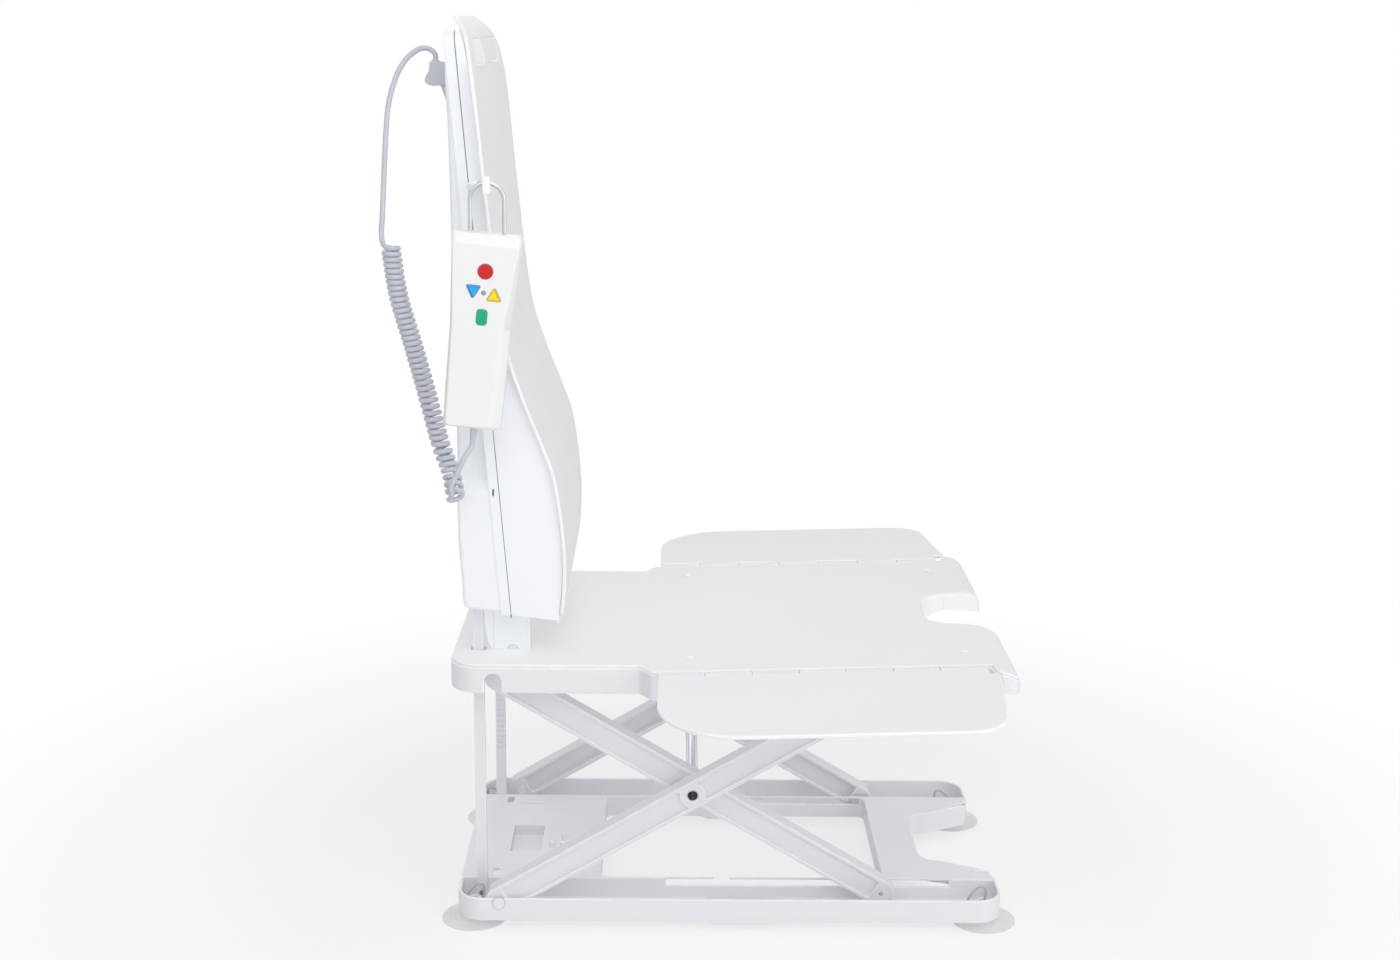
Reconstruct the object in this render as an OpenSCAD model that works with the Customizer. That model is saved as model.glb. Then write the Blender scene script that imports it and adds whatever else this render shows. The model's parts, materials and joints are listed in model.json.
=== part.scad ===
// Bath lift: a seat on scissor arms over a tray base with suction cups. The backrest holds the
// drive, which climbs two toothed racks, and a hand control hangs beside it on a curly cord.
// Millimetres. +X is the front of the seat, +Y its left side, +Z up, and the origin lies on the
// floor under the middle of the tray. The near side is -Y and the far side is +Y.

/* [Base] */
// Length of the base tray
base_l = 558; // [552:1:580]
// Width of the base tray
base_w = 316; // [306:1:326]
// Gap between the tray and the floor
base_clear = 11.5; // [10:0.5:14]
// Wall, floor and deck thickness of the tray
base_wall = 3; // [2.5:0.1:3.2]
// Outer corner radius of the tray
base_corner_r = 26; // [18:1:32]
// Length of the rear deck
rear_deck_l = 144; // [130:1:150]
// Length of the front deck, with the leg notch
front_deck_l = 118.5; // [108:0.5:125]
// Depth of the leg notch in the front deck
base_notch_l = 74; // [60:1:80]
// Deck left beside the leg notch at its inner end
notch_side = 43; // [36:1:55]
// Deck left beside the leg notch at its mouth
mouth_side = 17; // [13:1:30]
// Radius of each suction cup
cup_r = 33.5; // [28:0.5:36]
// Distance of the cup centres from the tray's ends
cup_inset = 15.5; // [14:0.5:18]
// Distance of the cup centres from the tray's sides
cup_side = 32.5; // [28:0.5:34]

/* [Scissor arms] */
// Room in the tray in front of the folded arms' pivots
arm_room = 59.1; // [52:0.1:75]
// Angle of the arms above level in the pose shown
arm_angle = 30.75; // [26:0.25:36]
// Height of an arm
arm_h = 28; // [24:0.5:28]
// Thickness of an arm
arm_t = 20; // [17:0.5:21]
// Depth of the panel in each arm's outer face
arm_panel_d = 3; // [2:0.5:5]
// Flange left above and below the panel
arm_flange = 4; // [3:0.5:6]
// Diameter of the pivot pins
pin_d = 8; // [6:0.5:9]
// Outer diameter of the steel tube through the middle of the arms
axle_d = 12.5; // [11:0.5:14]
// Wall of that tube
axle_wall = 1.25; // [1:0.05:2]
// Depth of the lower pivots below the tray's rim
pivot_drop = 5; // [4:0.25:6]
// Gap between the arms' ends and the tray's floor
arm_clear = 2.7; // [2:0.1:4]
// Distance from the tray's rear end to the rear pivots
pivot_inset = 43.5; // [42:0.5:46]

/* [Racks] */
// Width of a rack bar
rack_w = 11; // [9:0.5:11.5]
// Thickness of a rack bar
rack_t = 8; // [7:0.5:9]
// Rack left above the pinions when the seat is right up
rack_over = 13; // [8:0.5:20]
// Height of the lowest tooth
rack_tooth_z = 91; // [85:1:110]
// Module of the teeth
rack_module = 2; // [1.5:0.25:2.5]
// Distance of the rack's middle behind the rear pivots
rack_back = 21; // [20.5:0.25:22]

/* [Seat] */
// Distance of the seat's front edge behind the tray's front end
seat_short = 2.5; // [0:0.5:6]
// Distance from the rear pivots to the seat's rear end
seat_overhang = 46; // [42:0.5:50]
// Overhang of the narrow rear part past the tray's sides
seat_out = 6; // [5:0.5:9]
// Distance of the flap hinges outside the tray's sides
hinge_out = 29.5; // [27:0.5:34]
// Reach of the front corners past the flap hinges
ear_out = 15.5; // [11:0.5:18]
// Depth of the seat's rear skirt, with the cover
seat_skirt = 29.5; // [26:0.5:32]
// Wall thickness of the seat frame
seat_wall = 3.5; // [3:0.1:4.5]
// Thickness of the seat frame's plate
seat_plate = 4; // [3:0.25:5]
// Gap between the arms' upper ends and that plate
arm_top_clear = 3.5; // [2:0.5:5]
// Rise of the surface from the rear part to the front
seat_rise = 10.5; // [6:0.5:13]
// Depth of the leg notch in the seat
seat_notch_l = 72; // [60:1:80]
// Width of the seat's leg notch at its inner end
seat_notch_w = 100; // [80:1:110]
// Width of the seat's leg notch at its mouth
seat_mouth_w = 128; // [110:1:140]
// Thickness of the seat cover
cover_t = 3; // [2:0.5:4]

/* [Side flaps] */
// Width of a flap from its hinge line
flap_w = 158; // [130:1:170]
// Distance from the rear pivots to the flaps' rear ends
flap_from = 160; // [150:1:170]
// Thickness of a flap
flap_t = 4; // [3:0.5:5]
// Droop of the flaps below the seat's surface
flap_droop = 1.5; // [0:0.25:4]
// Diameter of the hinge barrels
barrel_d = 8; // [7:0.5:9]
// Diameter of the hinge rods
rod_d = 4; // [3:0.25:4.5]

/* [Backrest] */
// Distance of the housing's sides outside the racks
house_side = 37; // [33:0.5:42]
// Height of the housing's top above the seat
house_top = 605.5; // [580:0.5:612]
// Wall thickness of the housing
house_wall = 3; // [2.5:0.1:3.5]
// Width of the flange beside the seam
flange_w = 10; // [8:0.5:12]
// Setback of the rear shell's upper sides behind the flange
flange_set = 10; // [6:0.5:12]
// Thickness of the back cover
back_cover_t = 4; // [3:0.25:5]
// Overhang of the back cover past the housing near its top
back_top_out = 14; // [8:0.5:18]
// Overhang of the back cover past the housing above its tongue
back_low_out = 3; // [1:0.5:6]
// Width of the tongue at the bottom of the back cover
tongue_w = 194; // [170:1:206]
// Teeth on each drive pinion
pinion_teeth = 12; // [10:1:12]
// Height of the pinions above the seat
pinion_rise = 75; // [72:0.5:90]

/* [Hand control] */
// Height of the hand control
handset_h = 182; // [176:1:190]
// Width at its top
handset_top_w = 62; // [58:1:68]
// Width at its waist, below the buttons
handset_waist_w = 52.5; // [49:0.5:58]
// Width at its bottom
handset_low_w = 51; // [48:1:56]
// Thickness from face to back
handset_t = 26; // [25:1:32]
// Distance of its middle outside the housing's side
handset_out = 46; // [40:1:55]
// Wall thickness of its shells
handset_wall = 2.5; // [2:0.25:2.75]
// Lean of the hand control
handset_lean = 5.5; // [4:0.5:7]
// Travel of its buttons
button_travel = 1; // [0.8:0.1:1.2]
// Diameter of the wire that it hangs from
bail_d = 4; // [3:0.25:4.5]

/* [Cord] */
// Diameter of the cord
cord_d = 5; // [4:0.25:5.25]
// Outer diameter of the curls
curl_d = 18.5; // [17:0.5:20]
// Number of curls
curl_turns = 34; // [24:1:35]

/* [Hidden] */
$fn = 64;

// Clearances: a running fit on a radius, faces that slide, and parts that pass one another
fit = 0.05;
slide_gap = 0.3;
pass_gap = 2;
seat_gap = 0.2;

// Colours
white_plastic = [0.93, 0.93, 0.95];
cover_grey = [0.87, 0.87, 0.88];
clear_grey = [0.82, 0.82, 0.83];
cord_grey = [0.66, 0.66, 0.71];
steel = [0.72, 0.73, 0.75];
dark = [0.16, 0.16, 0.18];
board_green = [0.12, 0.38, 0.22];
button_red = [0.85, 0.13, 0.16];
button_blue = [0.13, 0.55, 0.87];
button_yellow = [0.98, 0.82, 0.08];
button_green = [0.05, 0.62, 0.38];

// Levels of the tray
floor_z = base_clear + base_wall;
pivot_z = floor_z + arm_clear + arm_h / 2;
base_top = pivot_z + pivot_drop;
half_l = base_l / 2;

// Places along X: rear pivots, racks, and the tray's opening
px = -half_l + pivot_inset;
rack_x = px - rack_back;
cup_x = half_l - cup_inset;
cup_y = base_w / 2 - cup_side;
open_x0 = -half_l + rear_deck_l;
open_x1 = half_l - front_deck_l;

// The stack across one side, from the tray's outer wall inwards
arm_play = 1;
arm_gap = 1;
pin_room = 5;
wall_y = base_w / 2 - base_wall;
outer_y1 = wall_y - arm_play;
outer_y0 = outer_y1 - arm_t;
inner_y1 = outer_y0 - arm_gap;
inner_y0 = inner_y1 - arm_t;
trough_y = inner_y0 - pin_room;
deck_y = trough_y - base_wall;
base_notch_w = 2 * (deck_y - notch_side);
base_mouth_w = 2 * (deck_y - mouth_side);
rack_y0 = trough_y + 1;
rack_y1 = rack_y0 + rack_t;

// The scissor in the pose shown, and the slides' travel between its end angles
low_angle = 2;
high_angle = 66.75;
arm_l = base_l - pivot_inset - arm_room;
half_arm = arm_l / 2;
span_x = arm_l * cos(arm_angle);
mid_x = px + span_x / 2;
mid_z = pivot_z + half_arm * sin(arm_angle);
top_z = pivot_z + arm_l * sin(arm_angle);
slide_x0 = px + arm_l * cos(high_angle);
slide_x1 = px + arm_l * cos(low_angle);
low_axle_x = px + half_arm * cos(low_angle);

// Slide shoes and their pins
low_pin_d = 4;
low_shoe = [20, 6.4];
top_pin_d = 7;
top_shoe = [24, 11];
shoe_flange = 2;
rail_t = 5;
rail_y0 = base_w / 2 + 3;
rail_y1 = rail_y0 + rail_t;
rail_lip = 4;
rail_end = 8;
pin_head_t = 1.5;

// Seat levels and places
seat_over_pivot = arm_h / 2 + arm_top_clear + seat_plate + cover_t;
seat_top = top_z + seat_over_pivot;
seat_x0 = px - seat_overhang;
seat_x1 = half_l - seat_short;
seat_rear_w = base_w + 2 * seat_out;
hinge_y = base_w / 2 + hinge_out;
seat_front_w = 2 * (hinge_y + ear_out);
barrel_room = barrel_d / 2 + 1;
side_y = hinge_y - barrel_room;
hinge_x = px + flap_from;
widen_x0 = hinge_x - 20;
widen_x1 = hinge_x - 4;
rise_x0 = hinge_x - 10;
curl_r = 35.5;
curl_turn = 55;
rise_x1 = seat_x1 - 26;
slope = atan(seat_rise / (rise_x1 - rise_x0));
ear_x = seat_x1 - 27;
flap_l = ear_x - 5 - hinge_x;
frame_top = seat_top - cover_t;
plate_under = frame_top - seat_plate;
skirt_z = seat_top - seat_skirt;
lug_r = pin_d / 2 + 5.5;
lug_t = 6.5;
lug_y1 = inner_y0 - slide_gap;
lug_y0 = lug_y1 - lug_t;
stud_x = [hinge_x + 31, seat_x1 - 48];
stud_y = hinge_y - 45.5;
stud_d = 5;
stud_head = 9;
stud_l = 9;
stud_lift = 0.4;

// The surface line of the seat in side view, from the rear to the curled front edge
seat_line = concat(
    [[seat_x0 - 1, seat_top], [rise_x0, seat_top]],
    [for (t = [0 : 5 : curl_turn])
        [rise_x1 + curl_r * (sin(slope) - sin(slope - t)),
         seat_top + seat_rise + curl_r * (cos(slope - t) - cos(slope))]]);

// Flap hinge: its start, and the barrels along it
hinge_z = seat_top + (hinge_x - rise_x0) * tan(slope) - barrel_d / 2;
barrel_count = 7;
barrel_gap = 0.5;
barrel_l = flap_l / barrel_count;
plate_from = barrel_d / 2 + 1.5;

// Backrest in side view: distance in front of the rear pivots, height above the seat. What lies
// above the bend of the back was drawn for a housing of drawn_top and stretches with house_top
drawn_top = 605.5;
back_bend = 324;
function stretched(h) = back_bend + (h - back_bend) * (house_top - back_bend) / (drawn_top - back_bend);
back_line = concat([[59, 20.5], [66, 44.5], [70, 86], [68, 132], [60, 187], [47.5, 223], [30, 268], [14, back_bend]],
    [for (p = [[0, 445], [-8, 527], [-12, 560], [-17, 588], [-23, 604], [-36, 618.5]]) [p[0], stretched(p[1])]]);
rear_line = concat([[-31.5, 53], [-33, 86], [-35, 112], [-36, 155], [-36, 229]],
    [for (p = [[-39, 499], [-40.5, 540], [-40, 585]]) [p[0], stretched(p[1])]], [[-38, house_top]]);
seam_low = [15.5, 45];
seam_high = [-31, house_top];
front_low = [60, 42.5];
tongue_top = 44.5;
bulge_top = 176;
bulge_fade = 14;
house_corner = 14;
house_deep = 100;
latch_x = [-7, -5];
latch_h = [166, 175];
latch_d = 2;
cover_corner = [100, 78];
window_inner = 30;
window_size = [82, 23];
window_below = 21.5;
house_w = 2 * (rack_y1 + house_side);
back_top_w = house_w + 2 * back_top_out;
back_low_w = house_w + 2 * back_low_out;
seam_lean = (seam_high[0] - seam_low[0]) / (seam_high[1] - seam_low[1]);

// Drive inside the housing
pinion_r = rack_module * (pinion_teeth + 2) / 2;
pinion_y = rack_y0 - slide_gap - pinion_r;
rack_top = pivot_z + arm_l * sin(high_angle) + seat_over_pivot + pinion_rise + rack_over;
pinion_z = seat_top + pinion_rise;
pinion_w = 10;
box_x = [px - 13, px + 30];
box_y0 = pinion_y - 37;
box_z = [seat_top + 60, seat_top + 140];
motor_d = 44;
motor_x = px + 9;
box_over = 9;
shaft_l = 18;
motor_z = seat_top + 104;
post_r = 6;
post_in = 20;
post_end = 62.5;

// Feet of the backrest on the seat
bracket_x = [px - 5.5, px + 31];
bracket_y = [rack_y0 - 5, rack_y1];
key_x = px + 13.5;
key_r = 4.8;
foot_r = 8;
guide_t = 8;
guide_r = 51;
guide_h = 24;
guide_turn = 28;
passage_h = [30, 62];

// Hand control: place, button places on its face, and what is inside
handset_rise = 336.5;
handset_at = [px - 4.5, -house_w / 2 - handset_out, seat_top + handset_rise];
bail_x = px + 2;
bail_w = 31;
bail_in = 13.5;
bail_leg = 42.5;
bail_low = handset_at[2] + handset_h / 2 - bail_in;
bail_z = [bail_low, bail_low + bail_leg];
face_y = -handset_t / 2;
waist_z = 4;
handset_r = 9;
stop_at = [0, 57];
lower_at = [-9.8, 38];
raise_at = [9.8, 36.5];
power_at = [0, 15];
lamp_at = [0, 37.5];
stop_d = 13.4;
arrow_w = 13;
power_size = [9, 14];
lamp_d = 4.6;
button_out = 1.4;
flange_t = 1.2;
board_y = face_y + handset_wall + slide_gap + flange_t + button_travel + 0.4;
board_t = 1.6;
board_x = [-20, 20];
board_z = [-8, 70];
battery_x = [-17, 17];
battery_z = [-76, -14];
battery_y = -2;
pillar_x = [-17, 17];
pillar_z = [-3, 66];
pillar_d = 5;
gland_d = 7.6;
gland_l = 12;

// Plug on the back of the housing, and the cord's route. Each point of the route is its distance
// in front of the rear pivots, its Y, and its height above the seat
plug_y = 44 - house_w / 2;
plug_rise = 565;
plug_z = seat_top + stretched(plug_rise);
plug_x = px - 41;
plug_top = plug_z + 12.5;
cord_x = px - 53;
function routed(points) = [for (p = points) [px + p[0], p[1], seat_top + p[2]]];
lead_points = [[-62, -112, 588.5], [-75, -115, 582.5], [-84, -119, 571.5], [-90, -124, 557.5], [-94.5, -130, 539.5],
    [-96.5, -139, 513.5], [-97.5, -148, 483.5], [-97.5, -156, 455.5], [-95.5, -163, 433.5]];
lead_route = routed([for (p = lead_points) [p[0], p[1], stretched(p[2])]]);
curl_line = routed([[-91, -169, 411.5], [-84.5, -169.5, 364.5], [-72, -170, 318.5], [-60, -170.5, 272.5],
    [-48.5, -172, 226.5], [-38, -177.5, 197.5], [-31.5, -194, 175.5]]);
tail_route = routed([[-34.5, -207.5, 189.5], [-28.5, -207, 203.5], [-21.5, -203.5, 218.5]]);

// Places every named piece along Y, X or Z from a flat outline
module along_y(y0, y1) translate([0, y1, 0]) rotate([90, 0, 0]) linear_extrude(y1 - y0) children();
module along_x(x0, x1) translate([x0, 0, 0]) rotate([90, 0, 90]) linear_extrude(x1 - x0) children();
module along_z(z0, z1) translate([0, 0, z0]) linear_extrude(z1 - z0) children();

// A pair of values about a middle, and a pair counted from a place
function about(c, w) = [c - w / 2, c + w / 2];
function between(c, a, b) = [c + a, c + b];

// A box between two values on each axis
module block(x, y, z) translate([x[0], y[0], z[0]]) cube([x[1] - x[0], y[1] - y[0], z[1] - z[0]]);

// Round bars along Y and along X
module bar_y(x, z, d, y0, y1) translate([x, y1, z]) rotate([90, 0, 0]) cylinder(d = d, h = y1 - y0);
module bar_x(y, z, d, x0, x1) translate([x0, y, z]) rotate([0, 90, 0]) cylinder(d = d, h = x1 - x0);

// Draws the far side as written, or mirrors it to the near side
module far() children();
module near() mirror([0, 1, 0]) children();
module both() { children(); mirror([0, 1, 0]) children(); }

// Rectangle with round corners, on its centre
module round_rect(l, w, r) {
    square([l - 2 * r, w], center = true);
    square([l, w - 2 * r], center = true);
    for (i = [-1, 1], j = [-1, 1])
        translate([i * (l / 2 - r), j * (w / 2 - r)]) circle(r);
}

// What a round corner takes off a square one, on the left or right of an upper edge
module corner_cut(c, r, s) difference() {
    translate([c[0] + (s < 0 ? -r - 1 : 0), c[1]]) square(r + 1);
    translate(c) circle(r);
}

// A line of points closed by its own mirror image in the first axis
function mirrored(p) = concat(p, [for (i = [len(p) - 1 : -1 : 0]) [p[i][0], -p[i][1]]]);

// Points on an arc, and a smooth curve through given points
function arc(c, r, a0, a1, n = 8) = [for (i = [0 : n]) c + r * [cos(a0 + (a1 - a0) * i / n),
    sin(a0 + (a1 - a0) * i / n)]];
function blend(a, b, c, d, t) = 0.5 * (2 * b + (c - a) * t + (2 * a - 5 * b + 4 * c - d) * t * t
    + (3 * b - a - 3 * c + d) * t * t * t);
function ends(p) = let (m = len(p) - 1) concat([2 * p[0] - p[1]], p, [2 * p[m] - p[m - 1]]);
function curve(p, n) = let (q = ends(p)) concat([for (i = [0 : len(p) - 2], k = [0 : n - 1])
    blend(q[i], q[i + 1], q[i + 2], q[i + 3], k / n)], [p[len(p) - 1]]);

// Closed tube through rings of points
module tube(rings) {
    n = len(rings[0]);
    last = len(rings) - 1;
    points = [for (ring = rings, p = ring) p];
    walls = [for (i = [0 : last - 1], j = [0 : n - 1])
        let (a = i * n + j, b = i * n + (j + 1) % n) each [[a, b + n, b], [a, a + n, b + n]]];
    caps = [for (j = [1 : n - 2]) each [[0, j, j + 1],
        [last * n, last * n + j + 1, last * n + j]]];
    polyhedron(points, concat(walls, caps));
}
function unit(v) = v / norm(v);
function ring(p, t, ref, r, n) = let (u = unit(ref - (ref * t) * t), v = cross(t, u))
    [for (j = [0 : n - 1]) p - r * (u * cos(360 * j / n) + v * sin(360 * j / n))];

// Base tray

module leg_notch(l, w, mouth, front, r, grow) {
    x0 = front - l - grow;
    h = w / 2 + grow;
    c = r + grow;
    translate([x0, c - h]) square([l + 2 * grow, 2 * (h - c)]);
    for (s = [-1, 1]) translate([x0 + c, s * (h - c)]) circle(c);
    polygon([[x0 + c, -h], [front + 1, -mouth / 2 - grow], [front + 1, mouth / 2 + grow], [x0 + c, h]]);
}

module base_notch(grow = 0) leg_notch(base_notch_l, base_notch_w, base_mouth_w, half_l, 22, grow);

module tray_plan() {
    tip_r = 18;
    difference() {
        round_rect(base_l, base_w, base_corner_r);
        base_notch();
        for (s = [-1, 1]) mirror([0, s < 0 ? 1 : 0]) difference() {
            translate([half_l - tip_r, base_mouth_w / 2 - 2]) square([tip_r + 1, tip_r + 2]);
            translate([half_l - tip_r, base_mouth_w / 2 + tip_r]) circle(tip_r);
        }
    }
}

module trough_plan() {
    intersection() {
        round_rect(base_l - 2 * base_wall, base_w - 2 * base_wall, base_corner_r - base_wall);
        translate([-half_l, trough_y]) square([base_l, wall_y - trough_y]);
    }
}

// Shallow bulge under each trough, where the thick middle of the arms comes down
belly_drop = 3.5;
belly_x = [low_axle_x - 11, low_axle_x + 53];
belly_ramp = 7;

module belly(lift) {
    polygon([[belly_x[0] - belly_ramp, base_clear + lift + 1], [belly_x[0] - belly_ramp, base_clear + lift],
        [belly_x[0], base_clear - belly_drop + lift], [belly_x[1], base_clear - belly_drop + lift],
        [belly_x[1] + belly_ramp, base_clear + lift], [belly_x[1] + belly_ramp, base_clear + lift + 1]]);
}

module deck_hollows() {
    translate([-half_l + base_wall, -deck_y])
        square([rear_deck_l - 2 * base_wall, 2 * deck_y]);
    difference() {
        translate([open_x1 + base_wall, -deck_y])
            square([half_l - open_x1 - 2 * base_wall, 2 * deck_y]);
        base_notch(base_wall);
    }
}

// Tub sunk in the rear deck
tub_x = [px + 2, px + 35];
tub_y = [-44, 24];
tub_d = 12;
post_places = [[px + 46, -34], [px + 58, -14], [px + 58, -34]];
boss_r = 7;
boss_top = floor_z + 7.5;
stem_d = 8;
rack_pin_d = 6;
rack_pin_z = floor_z + 8;

module base_frame() color(white_plastic) {
    difference() {
        union() {
            difference() {
                union() {
                    along_z(base_clear, base_top) tray_plan();
                    both() along_y(deck_y, base_w / 2) belly(0);
                }
                both() along_z(floor_z, base_top + 1) trough_plan();
                both() along_y(trough_y, wall_y) belly(base_wall);
                along_z(base_clear - 1, base_top - base_wall) deck_hollows();
                translate([(open_x0 + open_x1) / 2, 0])
                    along_z(0, base_top + 1) round_rect(open_x1 - open_x0, 2 * deck_y, 10);
            }
            both() for (s = [-1, 1]) translate([s * cup_x, cup_y, floor_z - 1])
                cylinder(r = boss_r, h = boss_top - floor_z + 1);
            block([tub_x[0] - base_wall, tub_x[1] + base_wall], [tub_y[0] - base_wall, tub_y[1] + base_wall],
                [base_top - tub_d - base_wall, base_top]);
            for (p = post_places) translate([p[0], p[1], base_top - 1]) cylinder(r = 3, h = 8);
        }
        block(tub_x, tub_y, [base_top - tub_d, base_top + 1]);
        both() {
            for (s = [-1, 1]) translate([s * cup_x, cup_y, 0]) cylinder(d = stem_d + 2 * fit, h = base_top);
            along_y(deck_y - 1, trough_y + 1)
                translate([slide_x0 - low_shoe[0] / 2 - slide_gap, pivot_z - low_shoe[1] / 2 - slide_gap])
                square([slide_x1 - slide_x0 + low_shoe[0] + 2 * slide_gap, low_shoe[1] + 2 * slide_gap]);
            block([low_axle_x - axle_d / 2 - pass_gap, low_axle_x + axle_d / 2 + pass_gap],
                [deck_y - 1, trough_y + 1], [pivot_z, base_top + 1]);
            bar_y(px, pivot_z, pin_d + 2 * fit, wall_y - 1, base_w / 2 + 1);
            bar_y(rack_x, rack_pin_z, rack_pin_d + 2 * fit, deck_y - 1, trough_y + 1);
            block([px - 12, px - 5], [deck_y - 19, deck_y - 3], [base_top - 4, base_top + 1]);
        }
        block([px + 2, px + 32], [deck_y - 22, deck_y - 19], [base_top - 4, base_top + 1]);
    }
}

module suction_cup(i, j) color(clear_grey) translate([i * cup_x, j * cup_y, 0]) rotate_extrude()
    polygon([[0, 5], [10, 4.6], [cup_r - 12, 3], [cup_r - 2, 0], [cup_r, 0], [cup_r, 1.2],
        [cup_r - 6, 3.2], [16, 8.4], [12, base_clear], [stem_d / 2, base_clear],
        [stem_d / 2, boss_top - 1.5], [0, boss_top - 1.5]]);

// Thin loop beside each cup, pulled to let the cup go
tab_r = 9;
tab_d = 2.4;
tab_leg = 13;

module release_tabs() color(clear_grey) both() for (s = [-1, 1]) translate([s * cup_x, cup_y, floor_z]) {
    for (k = [-1, 1]) translate([k * tab_r, 0, 0]) cylinder(d = tab_d, h = tab_leg);
    translate([0, 0, tab_leg]) rotate([90, 0, 0]) rotate_extrude(angle = 180)
        translate([tab_r, 0]) circle(d = tab_d);
}

// Racks

rack_pitch = PI * rack_module;
rack_teeth = floor((rack_top - rack_tooth_z) / rack_pitch) - 1;
tooth_d = 2.25 * rack_module - 1;
rack_line = concat([[rack_y1, floor_z], [rack_y1, rack_top], [rack_y0, rack_top]],
    [for (i = [rack_teeth - 1 : -1 : 0]) let (z = rack_tooth_z + i * rack_pitch)
        each [[rack_y0, z + 0.55 * rack_pitch], [rack_y0 + tooth_d, z + 0.4 * rack_pitch],
            [rack_y0 + tooth_d, z + 0.15 * rack_pitch], [rack_y0, z]]],
    [[rack_y0, floor_z]]);

module rack() color(white_plastic) difference() {
    along_x(rack_x - rack_w / 2, rack_x + rack_w / 2) polygon(rack_line);
    bar_y(rack_x, rack_pin_z, rack_pin_d + 2 * fit, rack_y0 - 1, rack_y1 + 1);
}

module rack_pins() color(steel) both() {
    bar_y(rack_x, rack_pin_z, rack_pin_d, deck_y, rack_y1);
    bar_y(rack_x, rack_pin_z, rack_pin_d + 4, deck_y - 1.5, deck_y);
}

module lower_pins() color(white_plastic) both() {
    bar_y(px, pivot_z, pin_d, outer_y0 + slide_gap, base_w / 2 + 1);
    bar_y(px, pivot_z, pin_d + 4, base_w / 2, base_w / 2 + 1.6);
}

// Scissor arms

hub_r = 13.5;
end_land = 13;

module arm_panel() {
    inner_h = arm_h - 2 * arm_flange;
    for (s = [-1, 1]) difference() {
        translate([s * (half_arm - end_land + hub_r) / 2, 0])
            round_rect(half_arm - end_land - hub_r + 8, inner_h, 3);
        circle(hub_r);
    }
}

// One arm on its own centre, level, between two values of Y. The panel is in its outer face and
// a deeper core in its inner one. mid_d and the two end diameters are its bores.
module arm(y0, mid_d, rear_d, front_d) difference() {
    along_y(y0, y0 + arm_t) {
        square([arm_l, arm_h], center = true);
        for (s = [-1, 1]) translate([s * half_arm, 0]) circle(d = arm_h);
    }
    along_y(y0 + arm_t - arm_panel_d, y0 + arm_t + 1) arm_panel();
    along_y(y0 - 1, y0 + arm_t / 2) arm_panel();
    bar_y(0, 0, mid_d, y0 - 1, y0 + arm_t + 1);
    bar_y(-half_arm, 0, rear_d, y0 - 1, y0 + arm_t + 1);
    bar_y(half_arm, 0, front_d, y0 - 1, y0 + arm_t + 1);
}

module outer_arm() color(white_plastic) translate([mid_x, 0, mid_z]) rotate([0, -arm_angle, 0])
    arm(outer_y0, axle_d + 2 * fit, pin_d + 2 * fit, top_pin_d + 2 * fit);

module inner_arm() color(white_plastic) translate([mid_x, 0, mid_z]) rotate([0, arm_angle, 0])
    arm(inner_y0, axle_d + 2 * fit, pin_d + 2 * fit, low_pin_d + 2 * fit);

module centre_axle() color(steel) difference() {
    bar_y(mid_x, mid_z, axle_d, -outer_y1, outer_y1);
    bar_y(mid_x, mid_z, axle_d - 2 * axle_wall, -outer_y1 - 1, outer_y1 + 1);
}

module top_slide_pins() color(steel) both() {
    bar_y(px + span_x, top_z, top_pin_d, outer_y0, rail_y1 + slide_gap);
    bar_y(px + span_x, top_z, top_pin_d + 4, rail_y1 + slide_gap, rail_y1 + slide_gap + pin_head_t);
}

module low_slide_pins() color(steel) both()
    bar_y(px + span_x, pivot_z, low_pin_d, deck_y, inner_y1);

module top_shoe() color(dark) difference() {
    block(about(px + span_x, top_shoe[0]), [rail_y0, rail_y1], about(top_z, top_shoe[1]));
    bar_y(px + span_x, top_z, top_pin_d + 2 * fit, rail_y0 - 1, rail_y1 + 1);
}

module low_shoe() color(dark) difference() {
    union() {
        block(about(px + span_x, low_shoe[0]), [deck_y, trough_y + slide_gap], about(pivot_z, low_shoe[1]));
        block(about(px + span_x, low_shoe[0]), between(trough_y + slide_gap, 0, shoe_flange),
            about(pivot_z, low_shoe[1] + 6));
    }
    bar_y(px + span_x, pivot_z, low_pin_d + 2 * fit, deck_y - 1, inner_y0);
}

// Seat

module seat_notch(grow) leg_notch(seat_notch_l, seat_notch_w, seat_mouth_w, seat_x1, 30, grow);

module seat_plan(d) {
    rear_h = seat_rear_w / 2 - d;
    side_h = side_y - d;
    ear_h = seat_front_w / 2 - d;
    rear_r = 28 - d;
    ear_r = 12 - d;
    steps = 8;
    difference() {
        polygon(mirrored(concat([[seat_x0 + d, rear_h]],
            [for (i = [0 : steps]) [widen_x0 + (widen_x1 - widen_x0) * i / steps,
                rear_h + (side_h - rear_h) * (1 - cos(180 * i / steps)) / 2]],
            [[ear_x + d, side_h], [ear_x + d, ear_h], [seat_x1 - d, ear_h]])));
        for (k = [0, 1]) mirror([0, k]) {
            corner_cut([seat_x0 + d + rear_r, rear_h - rear_r], rear_r, -1);
            corner_cut([ear_x + d + ear_r, ear_h - ear_r], ear_r, -1);
            corner_cut([seat_x1 - d - ear_r, ear_h - ear_r], ear_r, 1);
        }
        seat_notch(d);
    }
}

// Side view of the seat below the line that lies drop under its surface
module seat_side(drop, low_z) polygon(concat([for (p = seat_line) p - [0, drop]],
    [[seat_x1 + 4, seat_top - 14.5], [seat_x1 - 42, seat_top - 7.5], [seat_x1 - 112, low_z], [seat_x0 - 1, low_z]]));

module hinge_place() translate([hinge_x, hinge_y, hinge_z]) rotate([0, -slope, 0]) children();

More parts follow.
